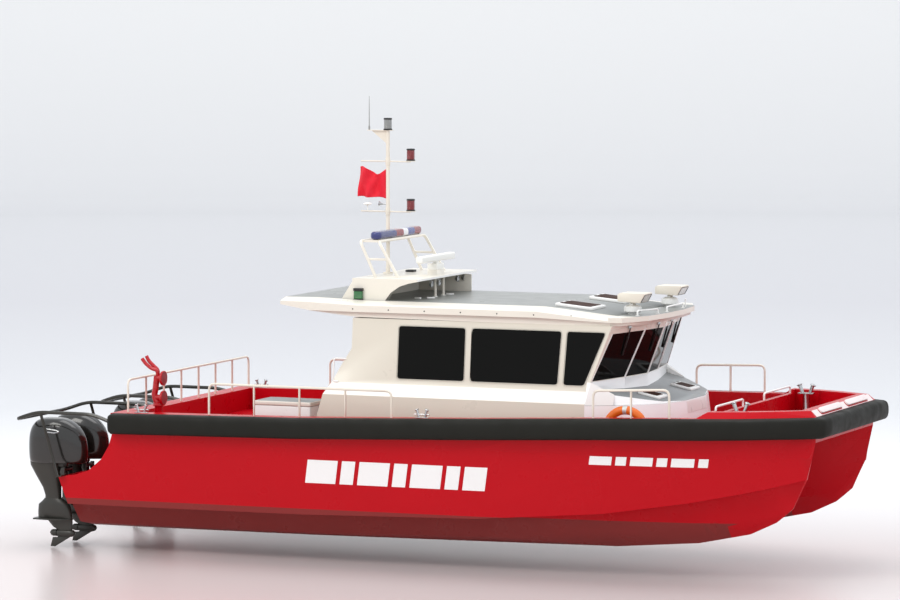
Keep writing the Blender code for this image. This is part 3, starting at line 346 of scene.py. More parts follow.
class Finishes(Enum):
    """Every finish on the boat: name, colour, roughness, slot, grain_mm, grain, drift."""

    HULL = BootTop("enamel_hull_red", "BC0516", 0.30, "hull_paint", 10, 0.012, 0.05, coat=0.04, specular=0.15,
        second="86302E")
    FENDER = Finish("moulded_rubber_fender", "22221E", 0.58, "fender_rubber", 6, 0.10, 0.12, wander_m=0.5,
        specular=0.13)
    HOUSE = Finish("enamel_warm_white", "E9E3D6", 0.32, "house_paint", 9, 0.012, 0.04, coat=0.2)
    # The brighter tone between z 1.822 and 2.002 is painted highlight on the walls' sloping shelf face.
    WALL = Band("enamel_wall_with_bright_band", "DCD6C6", 0.32, "house_paint", 9, 0.012, 0.04, coat=0.2,
        second="F4F1E8", low_z=1.822, high_z=2.002)
    ROOF = Tread("enamel_roof_anti_slip", "E9E3D6", 0.32, "house_paint", 5, 0.05, 0.04, second="8A8C89",
        up=0.9, low_z=3.06, out_y=1.25)
    # The trunk's white, brighter than the other whites, is painted highlight; the grey on its faces that look
    # up is anti-slip paint.
    TRUNK = Tread("enamel_trunk_anti_slip", "FBFBFA", 0.32, "white_paint", 5, 0.05, 0.04, second="8A8D8D",
        up=0.93, low_z=1.70, high_z=2.05)
    LOCKER = Tread("enamel_locker_anti_slip", "E6E0D3", 0.34, "white_paint", 5, 0.05, 0.04, second="7F827F",
        up=0.9)
    WHITE = Finish("enamel_bright_white", "F1F0EC", 0.30, "white_paint", 9, 0.012, 0.03, coat=0.3)
    RAIL = Finish("powder_coat_cream_tube", "E6DECF", 0.35, "house_paint", 3, 0.02, 0.05)
    GLASS = Finish("dark_tinted_glass", "0B0B09", 0.06, "dark_glass", 60, 0.004, 0.2, specular=0.10)
    SCREEN = Finish("dark_windscreen_glass", "121211", 0.05, "dark_glass", 60, 0.004, 0.2, specular=0.05)
    HATCH = Finish("bronze_tinted_acrylic", "38190A", 0.35, "dark_glass", 60, 0.01, 0.2, specular=0.01)
    GASKET = Finish("extruded_rubber_gasket", "26262A", 0.6, "fender_rubber", 3, 0.05, 0.1)
    GUARD = Finish("powder_coat_guard_tube", "26261F", 0.22, "dark_paint", 3, 0.03, 0.08, metallic=0.0)
    COWL = Finish("metallic_cowl_lacquer", "201F1C", 0.20, "engine_paint", 2, 0.02, 0.10, metallic=0.2,
        coat=0.6)
    LEG = Finish("cast_aluminium_leg_lacquer", "35342F", 0.34, "engine_paint", 3, 0.05, 0.12, metallic=0.2,
        wander_m=0.3)
    STEEL = Finish("brushed_stainless_steel", "B9BBBB", 0.28, "stainless_steel", 2, 0.03, 0.08, metallic=1.0)
    MONITOR = Finish("epoxy_fire_red", "B40414", 0.26, "monitor_paint", 6, 0.03, 0.08, coat=0.2, wander_m=0.2)
    MONITOR_DISC = Finish("epoxy_fire_red_cast", "8A1420", 0.42, "monitor_paint", 4, 0.08, 0.12, wander_m=0.1)
    RING = Finish("polyethylene_orange", "E4701A", 0.42, "life_ring_shell", 5, 0.03, 0.08, wander_m=0.2)
    RING_TAPE = Finish("retro_reflective_tape", "C9CCC9", 0.35, "life_ring_shell", 3, 0.05, 0.06,
        metallic=0.3)
    RADOME = Finish("moulded_radome_white", "F0EFE9", 0.34, "white_plastic", 4, 0.02, 0.03)
    GREY = Finish("powder_coat_grey", "8E8F8C", 0.4, "grey_paint", 3, 0.03, 0.06)
    BLACK = Finish("moulded_black_abs", "1C1C1B", 0.42, "dark_paint", 2, 0.05, 0.1)
    RED_LENS = Ribbed("moulded_red_lens", "7C1119", 0.12, "lamp_plastic", 8.0, 0.03, 0.15, coat=0.6,
        wander_m=0.05)
    GREY_LENS = Ribbed("moulded_clear_lens", "8B8D8B", 0.12, "lamp_plastic", 8.0, 0.03, 0.1, coat=0.6,
        wander_m=0.05)
    GREEN_LENS = Ribbed("moulded_green_lens", "1F6B34", 0.15, "lamp_plastic", 8.0, 0.03, 0.15, coat=0.6,
        wander_m=0.05)
    BAR_LENS = Lenses("moulded_bar_lenses", "22285E", 0.12, "lamp_plastic", 8.0, 0.03, 0.12, coat=0.6,
        wander_m=0.1, bands=((-9, "2A3170"), (-0.19, "8A1620"), (0.09, "F2F2F2"), (0.27, "39448A"),
        (0.53, "8A1620")))
    FLAG = Woven("plain_woven_bunting", "E5152E", 0.75, "flag_cloth", 8.0, 0.03, 0.12, wander_m=0.15)
    LAMP = Finish("frosted_lamp_lens", "B9BAB4", 0.25, "lamp_plastic", 12, 0.05, 0.05, coat=0.4, wander_m=0.1)
    # Pale pink on the bow's leaning edge and its pads: painted reflection of the light that the leaning face
    # catches.
    STRIP = Finish("enamel_pale_landing_strip", "F2E3E0", 0.45, "white_paint", 5, 0.05, 0.04)
    LIVERY = Finish("cast_vinyl_white", "F4F4F2", 0.35, "white_paint", 20, 0.004, 0.02)

    def material(self) -> bpy.types.Material:
        """The built material."""
        return self.value.build()


class Shape:
    """A mesh while it is being shaped with Blender's own mesh operators."""

    def __init__(self) -> None:
        """Starts with an empty mesh."""
        self.bm = bmesh.new()

    def drawn(self, faces: Sequence[bmesh.types.BMFace], run: Point) -> "Shape":
        """Draws faces out along a vector."""
        out = bmesh.ops.extrude_face_region(self.bm, geom=list(faces))["geom"]
        bmesh.ops.translate(self.bm, verts=[g for g in out if isinstance(g, bmesh.types.BMVert)], vec=run)
        return self

    def next_ring(self, ring: Sequence[bmesh.types.BMEdge]) -> tuple[list, list]:
        """Extrudes a ring of edges in place, and returns the new ring's points and edges."""
        out = bmesh.ops.extrude_edge_only(self.bm, edges=ring)["geom"]
        verts = [g for g in out if isinstance(g, bmesh.types.BMVert)]
        fresh = set(verts)
        return verts, [g for g in out if isinstance(g, bmesh.types.BMEdge) and set(g.verts) <= fresh]

    def outlined(self, outline: Sequence[Point]) -> bmesh.types.BMFace:
        """Makes one flat face from its corners."""
        return self.bm.faces.new([self.bm.verts.new(p) for p in outline])

    @classmethod
    def box(cls, low: Point, high: Point, ease: float = 0.0, steps: int = 3) -> "Shape":
        """Makes a block between two corners, its edges eased by a bevel.

        Args:
            low: the lowest corner.
            high: the highest corner.
            ease: the bevel's width.
            steps: the bevel's segments.

        Returns:
            The block.
        """
        made = cls()
        size = Vector(high) - Vector(low)
        place = Matrix.Translation((Vector(low) + Vector(high)) / 2) @ Matrix.Diagonal((*size, 1.0))
        bmesh.ops.create_cube(made.bm, size=1.0, matrix=place)
        return made.eased(ease, steps) if ease else made

    @classmethod
    def lathe(cls, profile: Sequence[Point], foot: Point, axis: Point = (0, 0, 1),
            steps: int = 28) -> "Shape":
        """Spins a profile round an axis.

        Args:
            profile: pairs of radius and distance along the axis, from one pole to the other.
            foot: the point on the axis where the distance is 0.
            axis: the axis' direction.
            steps: the number of segments round it.

        Returns:
            The turned form.
        """
        made = cls()
        verts = [made.bm.verts.new((r, 0.0, h)) for r, h in profile]
        edges = [made.bm.edges.new(pair) for pair in zip(verts, verts[1:])]
        bmesh.ops.spin(made.bm, geom=verts + edges, cent=(0, 0, 0), axis=(0, 0, 1), angle=2 * math.pi,
            steps=steps, use_merge=True)
        bmesh.ops.remove_doubles(made.bm, verts=made.bm.verts, dist=WELD)
        turn = Vector((0, 0, 1)).rotation_difference(Vector(axis)).to_matrix().to_4x4()
        return made.moved(Matrix.Translation(foot) @ turn)

    @classmethod
    def pipe(cls, path: Sequence[Point], radius: float, sides: int = 14, closed: bool = False) -> "Shape":
        """Extrudes a circle from point to point.

        Args:
            path: the centreline.
            radius: the tube's radius.
            sides: the circle's segments.
            closed: whether the end joins the start.

        Returns:
            The tube, with its ends filled if it is open.
        """
        made = cls()
        pts = [Vector(p) for p in path]
        count = len(pts)

        def heading(k: int) -> Vector:
            """The tube's direction at point k."""
            before = pts[k - 1] if (k > 0 or closed) else pts[0]
            after = pts[(k + 1) % count] if (k + 1 < count or closed) else pts[-1]
            return (after - before).normalized()

        turn = Vector((0, 0, 1)).rotation_difference(heading(0)).to_matrix().to_4x4()
        bmesh.ops.create_circle(made.bm, segments=sides, radius=radius,
            matrix=Matrix.Translation(pts[0]) @ turn)
        first = ring = made.bm.edges[:]
        for k in range(1, count):
            verts, ring = made.next_ring(ring)
            bend = heading(k - 1).rotation_difference(heading(k)).to_matrix()
            bmesh.ops.rotate(made.bm, verts=verts, cent=pts[k - 1], matrix=bend)
            bmesh.ops.translate(made.bm, verts=verts, vec=pts[k] - pts[k - 1])
        if closed:
            bmesh.ops.bridge_loops(made.bm, edges=ring + first)
        else:
            bmesh.ops.edgeloop_fill(made.bm, edges=first)
            bmesh.ops.edgeloop_fill(made.bm, edges=ring)
        return made

    @classmethod
    def plate(cls, outline: Sequence[Point], across: str, low: float, high: float,
            ease: float = 0.0) -> "Shape":
        """Extrudes a flat outline.

        Args:
            outline: points in the plane across the axis, in X, Y, Z order.
            across: the axis that it runs along: X, Y or Z.
            low: where it starts on that axis.
            high: where it ends.
            ease: the bevel's width.

        Returns:
            The plate.
        """
        put = {"X": lambda p: (low, p[0], p[1]), "Y": lambda p: (p[0], low, p[1]), "Z": lambda p: (p[0], p[1],
            low)}
        run = Vector([high - low if axis == across else 0.0 for axis in "XYZ"])
        return cls.slab([put[across](p) for p in outline], run, ease)

    @classmethod
    def slab(cls, outline: Sequence[Point], run: Point, ease: float = 0.0) -> "Shape":
        """Extrudes a flat outline in space along a vector.

        Args:
            outline: the corners of the flat face.
            run: how far, and which way, it is drawn out.
            ease: the bevel's width.

        Returns:
            The slab.
        """
        made = cls()
        made.drawn([made.outlined(outline)], run)
        return made.eased(ease, 2) if ease else made

    @classmethod
    def shell(cls, points: Sequence[Point]) -> "Shape":
        """Stretches the convex hull over some points.

        Args:
            points: the points.

        Returns:
            The closed form.
        """
        made = cls()
        verts = [made.bm.verts.new(p) for p in points]
        out = bmesh.ops.convex_hull(made.bm, input=verts)
        loose = {g for g in out["geom_interior"] + out["geom_unused"] if isinstance(g, bmesh.types.BMVert)}
        bmesh.ops.delete(made.bm, geom=list(loose), context="VERTS")
        return made

    @classmethod
    def rim(cls, outline: Sequence[Point], lap: float, run: Point) -> "Shape":
        """Makes a flat frame inside an outline and draws it out along a vector.

        Args:
            outline: the frame's outer edge.
            lap: the frame's width.
            run: how far, and which way, it is drawn out.

        Returns:
            The frame.
        """
        made = cls()
        face = made.outlined(outline)
        ring = bmesh.ops.inset_individual(made.bm, faces=[face], thickness=lap, use_even_offset=True)["faces"]
        bmesh.ops.delete(made.bm, geom=[f for f in made.bm.faces if f not in set(ring)], context="FACES_ONLY")
        return made.drawn(made.bm.faces[:], run)

    @classmethod
    def tower(cls, rows: Sequence[Point], sides: int = 24, square: float = 3.0) -> "Shape":
        """Raises walls ring by ring from a circle drawn out towards a square.

        Args:
            rows: height, aft x, fore x and half breadth of each ring.
            sides: the ring's segments.
            square: 2 is an ellipse, and more is squarer.

        Returns:
            The closed form.
        """
        made = cls()
        bmesh.ops.create_circle(made.bm, segments=sides, radius=1.0)
        for v in made.bm.verts:
            v.co *= (abs(v.co.x) ** square + abs(v.co.y) ** square) ** (-1.0 / square)
        first = ring = made.bm.edges[:]
        verts = made.bm.verts[:]
        last = (0.0, 0.0, 1.0, 1.0)
        for k, (z, aft, fore, half) in enumerate(rows):
            if k:
                verts, ring = made.next_ring(ring)
            now = (z, (aft + fore) / 2, (fore - aft) / 2, half)
            bmesh.ops.translate(made.bm, verts=verts, vec=(-last[1], 0, -last[0]))
            bmesh.ops.scale(made.bm, verts=verts, vec=(now[2] / last[2], now[3] / last[3], 1.0))
            bmesh.ops.translate(made.bm, verts=verts, vec=(now[1], 0, now[0]))
            last = now
        bmesh.ops.edgeloop_fill(made.bm, edges=first)
        bmesh.ops.edgeloop_fill(made.bm, edges=ring)
        return made

    @classmethod
    def of_node(cls, name: str) -> "Shape":
        """Copies a CAD node's mesh, with its loose triangles merged."""
        made = cls()
        made.bm.from_mesh(frame["nodes"][name].data)
        bmesh.ops.remove_doubles(made.bm, verts=made.bm.verts, dist=WELD)
        bmesh.ops.dissolve_limit(made.bm, angle_limit=FLAT, verts=made.bm.verts, edges=made.bm.edges)
        return made

    def eased(self, width: float, steps: int = 2, sharper_than: float = 25.0) -> "Shape":
        """Bevels every edge that turns by more than an angle.

        Args:
            width: the bevel's width.
            steps: its segments.
            sharper_than: the angle, in degrees.

        Returns:
            This shape.
        """
        bmesh.ops.recalc_face_normals(self.bm, faces=self.bm.faces)
        limit = math.radians(sharper_than)
        edges = [e for e in self.bm.edges if len(e.link_faces) == 2 and e.calc_face_angle(0.0) > limit]
        bmesh.ops.bevel(self.bm, geom=edges, offset=width, segments=steps, profile=0.5, affect="EDGES",
            material=-1, clamp_overlap=True)
        return self

    def moved(self, matrix: Matrix) -> "Shape":
        """Moves and turns the shape by a matrix."""
        bmesh.ops.transform(self.bm, matrix=matrix, verts=self.bm.verts)
        return self

    def shifted(self, x: float = 0.0, y: float = 0.0, z: float = 0.0) -> "Shape":
        """Moves the shape by a distance along each axis."""
        return self.moved(Matrix.Translation((x, y, z)))

    def turned(self, degrees: float, axis: str, about: Point) -> "Shape":
        """Turns the shape about an axis through a point."""
        spin = Matrix.Rotation(math.radians(degrees), 4, axis)
        return self.moved(Matrix.Translation(about) @ spin @ Matrix.Translation(-Vector(about)))

    def with_(self, *others: "Shape") -> "Shape":
        """Adds other shapes' meshes to this one."""
        for other in others:
            mesh = bpy.data.meshes.new("joined")
            other.bm.to_mesh(mesh)
            other.bm.free()
            self.bm.from_mesh(mesh)
            bpy.data.meshes.remove(mesh)
        return self

    def piece(self, name: str, finish: Finishes, stands_for: Sequence[str] = (), body: str = "boat",
            slot: str = "", smooth: float = 35.0, levels: int = 0) -> bpy.types.Object:
        """Turns the shape into a finished piece of the boat.

        Args:
            name: the piece's name.
            finish: its finish.
            stands_for: CAD nodes that it replaces.
            body: the CAD body that it rides on.
            slot: the record's material slot, if it isn't the finish's usual one; not used.
            smooth: edges that turn by less than this many degrees are shaded smooth.
            levels: subdivision levels.

        Returns:
            The object.
        """
        bmesh.ops.recalc_face_normals(self.bm, faces=self.bm.faces)
        mesh = bpy.data.meshes.new(name)
        self.bm.to_mesh(mesh)
        self.bm.free()
        mesh.materials.append(finish.material())
        mesh.shade_smooth()
        if not levels:
            mesh.set_sharp_from_angle(angle=math.radians(smooth))
        ob = bpy.data.objects.new(name, mesh)
        bpy.context.scene.collection.objects.link(ob)
        if levels:
            soften = ob.modifiers.new("soften", "SUBSURF")
            soften.levels = soften.render_levels = levels
        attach(ob, body)
        if stands_for:
            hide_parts(*stands_for)
        return ob


def curve(a: Vector, b: Vector, c: Vector, steps: int) -> list[Vector]:
    """Points on the curve from a to c that leaves and arrives along the lines to b."""
    return [a * (1 - t) ** 2 + 2 * t * (1 - t) * b + c * t ** 2
        for t in (k / steps for k in range(steps + 1))]


def bends(points: Sequence[Point], radius: float, steps: int = 6) -> list[Vector]:
    """Rounds the corners of a line, as a bent tube has them.

    Args:
        points: the corners.
        radius: how far from a corner its bend starts.
        steps: points in each bend.

    Returns:
        The rounded line's points.
    """
    pts = [Vector(p) for p in points]
    out = [pts[0]]
    for a, b, c in zip(pts, pts[1:], pts[2:]):
        u, v = (a - b).normalized(), (c - b).normalized()
        r = min(radius, (a - b).length * 0.45, (c - b).length * 0.45)
        out += curve(b + u * r, b, b + v * r, steps)
    return out + [pts[-1]]


def rounded(corners: Sequence[Point], radius: float, steps: int = 4) -> list[Vector]:
    """Rounds the corners of a closed outline.

    Args:
        corners: the outline's corners, in order.
        radius: how far from a corner its round starts.
        steps: points in each round.

    Returns:
        The rounded outline.
    """
    out = []
    pts = [Vector(p) for p in corners]
    for k, b in enumerate(pts):
        u, v = (pts[k - 1] - b).normalized(), (pts[(k + 1) % len(pts)] - b).normalized()
        out += curve(b + u * radius, b, b + v * radius, steps)
    return out


def corners(left: float, right: float, low: float, high: float) -> tuple:
    """A flat quad's corners: low left, low right, high right, high left."""
    return (left, low), (right, low), (right, high), (left, high)


def grown(quad: Sequence[Point], by: float) -> list[tuple[float, float]]:
    """Moves a quad's corners outwards; they come in the order that corners gives."""
    ways = ((-1, -1), (1, -1), (1, 1), (-1, 1))
    return [(a + by * u, b + by * v) for (a, b), (u, v) in zip(quad, ways)]


class Skin:
    """The outer surface of one or more CAD nodes, for placing thin pieces on it."""

    def __init__(self, *node_names: str) -> None:
        """Reads the nodes' meshes once."""
        points, faces = [], []
        for name in node_names:
            mesh = frame["nodes"][name].data
            mesh.calc_loop_triangles()
            faces += [tuple(v + len(points) for v in t.vertices) for t in mesh.loop_triangles]
            points += [v.co.copy() for v in mesh.vertices]
        self.tree = BVHTree.FromPolygons(points, faces)

    def hit(self, start: Point, way: Point, proud: float = 0.0) -> Vector:
        """Finds where a straight line meets the surface.

        Args:
            start: where the line starts, outside the node.
            way: its direction.
            proud: how far to stay off the surface, back along the line.

        Returns:
            The point.
        """
        way = Vector(way).normalized()
        point, _, _, _ = self.tree.ray_cast(Vector(start), way)
        if point is None:
            raise ValueError(f"nothing at {start} along {way}")
        return point - way * proud


@dataclass
class Carried:
    """The CAD nodes whose form is right: a merged copy with eased edges stands for each."""

    ease: float = 0.004
    fender_band: float = 0.39
    fender_stern_x: float = -4.8
    fender_sharp: float = 75.0

    def dress(self, names: Sequence[str], finish: Finishes, slot: str = "", ease: Optional[float] = None,
              smooth: float = 32.0) -> None:
        """Dresses nodes with one finish.

        Args:
            names: the CAD nodes.
            finish: their finish.
            slot: the record's material slot, if it isn't the finish's usual one.
            ease: the bevel's width, or None for the usual one.
            smooth: edges that turn by less are shaded smooth.
        """
        width = self.ease if ease is None else ease
        for name in names:
            shape = Shape.of_node(name)
            if width:
                shape.eased(width, 2, 30.0)
            shape.piece(name + "_skin", finish, (name,), body=frame["nodes"][name]["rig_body"], slot=slot,
                smooth=smooth)

    def fender(self) -> None:
        """The fender, rounded in section by subdivision; creases hold its line, ends and inner edges."""
        shape = Shape.of_node("fender")
        crease = shape.bm.edges.layers.float.new("crease_edge")
        for e in shape.bm.edges:
            a, b = (v.co for v in e.verts)
            forward = max(a.x, b.x) > self.fender_stern_x or abs(a.x - b.x) < 0.001
            across = (a - b).length < self.fender_band and forward
            if across or e.calc_face_angle(0.0) > math.radians(self.fender_sharp):
                e[crease] = 1.0
        shape.piece("fender_skin", Finishes.FENDER, ("fender",), levels=3)

    def build(self) -> None:
        """Dresses every node that keeps its form."""
        both = ("starboard", "port")
        Shape.of_node("hull").with_(Shape.of_node("bulwark")).piece("hull_and_bulwark_skin", Finishes.HULL,
            ("hull", "bulwark"), smooth=18.0)
        self.fender()
        self.dress(["deckhouse_side_" + s for s in both] + ["deckhouse_aft_wall"], Finishes.WALL, ease=0.0)
        self.dress(["deckhouse_front"], Finishes.HOUSE, ease=0.0)
        self.dress(["roof"], Finishes.ROOF, ease=0.0, smooth=20.0)
        self.dress(["foredeck_trunk"], Finishes.TRUNK, ease=0.0)
        self.dress(["aft_door"], Finishes.WHITE)
        self.dress(["radar_platform", "arch"], Finishes.HOUSE, ease=0.0, smooth=40.0)
        self.dress(["aft_rail_" + s for s in both] + ["bow_rail_" + s for s in both] + ["stern_rail"],
            Finishes.RAIL, ease=0.0, smooth=50.0)
        self.dress(["bow_grab_rail_" + s for s in both], Finishes.WHITE, ease=0.0, smooth=50.0)
        self.dress(["engine_guard_" + s for s in both], Finishes.GUARD, ease=0.0, smooth=50.0)
        self.dress(["engine_mount_" + s for s in both], Finishes.LEG, slot="dark_paint", ease=0.003)
        self.dress(["swivel_bracket_%s_%s" % (s, n) for s in both for n in ("inner", "outer")], Finishes.LEG,
            slot="dark_paint", ease=0.003)
        self.dress(["searchlight_head_" + s for s in both], Finishes.RAIL, slot="white_paint", ease=0.008,
            smooth=40.0)
        self.dress(["searchlight_yoke_" + s for s in both], Finishes.WHITE, ease=0.0, smooth=40.0)
        self.dress(["%s_hatch_%s" % (w, s) for s in both for w in ("roof", "trunk")], Finishes.WHITE,
            ease=0.010)
        self.dress(["bow_bitt_" + s for s in both], Finishes.STEEL, ease=0.003, smooth=40.0)
        self.dress(["monitor_riser"], Finishes.MONITOR, ease=0.003, smooth=40.0)


@dataclass
class Livery:
    """White slanted bars on the sides, in place of the words that the real boat carries there."""

    skin: Skin
    proud: float = 0.0015

    def bars(self, name: str, side: Side, start: float, low: float, widths: Sequence[float], height: float,
             gap: float) -> None:
        """Lays a row of slanted bars on the hull side.

        Args:
            name: the piece's name.
            side: the boat's side.
            start: the x of the first bar's aft lower corner.
            low: the bars' lower edge.
            widths: the width of each bar.
            height: their height.
            gap: the space between them.
        """
        row = Shape()
        x = start
        for width in widths:
            grid = Shape()
            bmesh.ops.create_grid(grid.bm, x_segments=8, y_segments=4, size=0.5)
            for v in grid.bm.verts:
                up = v.co.y + 0.5
                v.co = self.skin.hit((x + (v.co.x + 0.5) * width + 0.18 * height * up, side.value * 4.0,
                                      low + up * height), (0, -side.value, 0), self.proud)
            x += width + gap
            row.with_(grid)
        row.piece(name, Finishes.LIVERY, smooth=60.0)

    def build(self) -> None:
        """Lays both rows on both sides."""
        for side in Side:
            self.bars("livery_long_" + side.word, side, -1.68, 0.50, (0.50, 0.22, 0.50, 0.22, 0.50, 0.22,
                0.36), 0.36, 0.07)
            self.bars("livery_short_" + side.word, side, 2.93, 0.975, (0.34, 0.16, 0.34, 0.16, 0.34, 0.14),
                0.13, 0.06)


@dataclass
class Windscreen:
    """Four dark panes flush with the front's facets, pale mullions between them, and a wiper on each."""

    foot: tuple = ((1.683, 2.749), (0.73, 2.93), (0.0, 3.03), (-0.73, 2.93), (-1.683, 2.749))
    head: tuple = ((1.600, 3.056), (0.60, 3.262), (0.0, 3.344), (-0.60, 3.262), (-1.600, 3.056))
    low_z: float = 2.145
    high_z: float = 2.985
    top: float = 0.86
    header: float = 0.94

    def outward(self, k: int) -> Vector:
        """The direction that facet k looks in."""
        (y0, x0), (y1, x1), (y2, x2) = self.foot[k], self.foot[k + 1], self.head[k]
        n = Vector((x1 - x0, y1 - y0, 0)).cross(Vector((x2 - x0, y2 - y0,
            self.high_z - self.low_z))).normalized()
        return n if n.x > 0 else -n

    def spot(self, k: int, u: float, w: float, off: float = 0.0) -> Vector:
        """A point on facet k: u across from its port edge, w up, off outward."""
        (y0, x0), (y1, x1), (y2, x2), (y3, x3) = self.foot[k], self.foot[k + 1], self.head[k], self.head[k +
            1]
        low = Vector((x0, y0, self.low_z)).lerp(Vector((x1, y1, self.low_z)), u)
        high = Vector((x2, y2, self.high_z)).lerp(Vector((x3, y3, self.high_z)), u)
        return low.lerp(high, w) + self.outward(k) * off

    def patch(self, k: int, off: float, *corners: Point) -> list[Vector]:
        """Corners on facet k, all as far off it."""
        return [self.spot(k, u, w, off) for u, w in corners]

    def build(self) -> None:
        """Builds the panes, the header over them, the mullions, the wipers and their motors."""
        panes, bars, wipers, motors, header = Shape(), Shape(), Shape(), Shape(), Shape()
        last = len(self.foot) - 2
        for k in range(last + 1):
            ends = {0: ((0.02, 0.015), (0.98, 0.015), (0.98, self.top), (0.10, self.top)),
                    last: ((0.02, 0.015), (0.98, 0.015), (0.90, self.top), (0.02, self.top))}
            quad = self.patch(k, PROUD, *ends.get(k, corners(0.03, 0.97, 0.015, self.top)))
            panes.with_(Shape.slab(rounded(quad, 0.02), self.outward(k) * 0.003))
            quad = self.patch(k, 0.0006, *corners(0.012, 0.988, self.top - 0.004, self.header))
            header.with_(Shape.slab(quad, self.outward(k) * 0.0045))
            if k:
                bars.with_(Shape.pipe([self.spot(k, 0, 0.0, 0.003), self.spot(k, 0, self.top + 0.04, 0.003)],
                    0.017, 8))
            u = 0.50 if k == last else 0.42
            line = ((u, 0.955, 0.03), (u - 0.06, 0.75, 0.026), (u - 0.12, 0.44, 0.016))
            arm = [self.spot(k, *at) for at in line]
            wipers.with_(Shape.pipe(arm, 0.010, 8), Shape.pipe([arm[0].lerp(arm[2], 0.35), arm[2]], 0.015, 6))
            at = self.spot(k, u, 0.955, 0.012)
            motors.with_(Shape.box(at - Vector((0.012, 0.035, 0.022)), at + Vector((0.020, 0.035, 0.022)),
                0.006))
        for k, sign in ((0, 0), (last, 1)):
            foot, head = (self.spot(k, abs(sign - u), w, 0.002) for u, w in ((0.018, 0.01), (0.10, self.top)))
            bars.with_(Shape.pipe([foot, head], 0.008, 8))
            edge = ((0.001, 0.015), (0.016, 0.015), (0.098, self.top), (0.098, self.header),
                (0.001, self.header))
            quad = [self.spot(k, abs(sign - u), w, 0.0006) for u, w in edge]
            header.with_(Shape.slab(quad, self.outward(k) * 0.002))
        panes.piece("windscreen_panes", Finishes.SCREEN, ("windscreen_glazing",))
        header.piece("windscreen_header", Finishes.HOUSE)
        bars.piece("windscreen_mullions", Finishes.WHITE)
        wipers.piece("wipers", Finishes.BLACK)
        motors.piece("wiper_motors", Finishes.STEEL)


@dataclass
class Windows:
    """The dark panes in the side walls, the aft wall and the aft door, each in a rubber gasket."""

    side_panes: tuple = (
        ((-0.385, 2.09), (0.70, 2.09), (0.70, 2.885), (-0.385, 2.885)),
        ((0.815, 2.09), (2.215, 2.09), (2.255, 2.885), (0.815, 2.885)),
        ((2.32, 2.09), (2.64, 2.09), (2.96, 2.885), (2.355, 2.885)))
    aft_x: float = -1.1597
    door_x: float = -1.20
    pane_thick: float = 0.0025
    gasket_thick: float = 0.0065

    def on_wall(self, side: Side, quad: Sequence[Point], radius: float, off: float) -> list[Vector]:
        """Lays a rounded quad of x and z on the side wall."""
        return [Vector((x, side.value * (1.683 - 0.0988 * (z - 2.145) + off), z)) for x,
            z in rounded(quad, radius)]

    def side(self, side: Side) -> None:
        """The panes of one side."""
        panes, gaskets = Shape(), Shape()
        for quad in self.side_panes:
            pane = self.on_wall(side, grown(quad, 0.001), 0.045, PROUD)
            panes.with_(Shape.slab(pane, (0, side.value * self.pane_thick, 0)))
            edge = self.on_wall(side, grown(quad, 0.012), 0.055, PROUD / 2)
            gaskets.with_(Shape.rim(edge, 0.013, (0, side.value * self.gasket_thick, 0)))
        panes.piece("side_panes_" + side.word, Finishes.GLASS, ("side_glazing_" + side.word,))
        gaskets.piece("side_gaskets_" + side.word, Finishes.GASKET)

    def aft(self) -> None:
        """The panes of the aft wall and of the door, with the door's handle and hinges."""
        panes, gaskets = Shape(), Shape()
        for s in (-1, 1):
            quad = corners(s - 0.38, s + 0.38, 2.12, 2.80)
            for shape, by, lap, off, thick in ((panes, 0.001, 0, PROUD, self.pane_thick),
                                               (gaskets, 0.012, 0.013, PROUD / 2, self.gasket_thick)):
                edge = [Vector((self.aft_x - off, y, z)) for y, z in rounded(grown(quad, by), 0.05)]
                shape.with_(Shape.rim(edge, lap, (-thick, 0, 0)) if lap else Shape.slab(edge, (-thick, 0, 0)))
        panes.piece("aft_panes", Finishes.GLASS)
        gaskets.piece("aft_gaskets", Finishes.GASKET)
        quad = corners(-0.265, 0.265, 2.115, 2.785)
        edge = [Vector((self.door_x - PROUD, y, z)) for y, z in rounded(quad, 0.04)]
        Shape.slab(edge, (-self.pane_thick, 0, 0)).piece("door_pane", Finishes.GLASS, body="door")
        edge = [Vector((self.door_x - PROUD / 2, y, z)) for y, z in rounded(grown(quad, 0.012), 0.05)]
        Shape.rim(edge, 0.014, (-self.gasket_thick, 0, 0)).piece("door_gasket", Finishes.GASKET, body="door")
        x = self.door_x
        lever = bends([(x, -0.33, 2.02), (x - 0.045, -0.33, 2.02), (x - 0.045, -0.20, 2.02)], 0.02)
        handle = Shape.pipe(lever, 0.009, 10).with_(Shape.box((x - 0.006, -0.36, 1.94), (x, -0.30, 2.07),
            0.003))
        for z in (1.45, 2.05, 2.70):
            pin = [(0.0, -0.045), (0.009, -0.045), (0.009, 0.045), (0.0, 0.045)]
            handle.with_(Shape.lathe(pin, (x - 0.004, 0.412, z)))
            handle.with_(Shape.box((x - 0.004, 0.34, z - 0.035), (x, 0.405, z + 0.035), 0.0015))
        handle.piece("door_fittings", Finishes.STEEL, body="door")

    def build(self) -> None:
        """Builds all the panes."""
        for side in Side:
            self.side(side)
        self.aft()


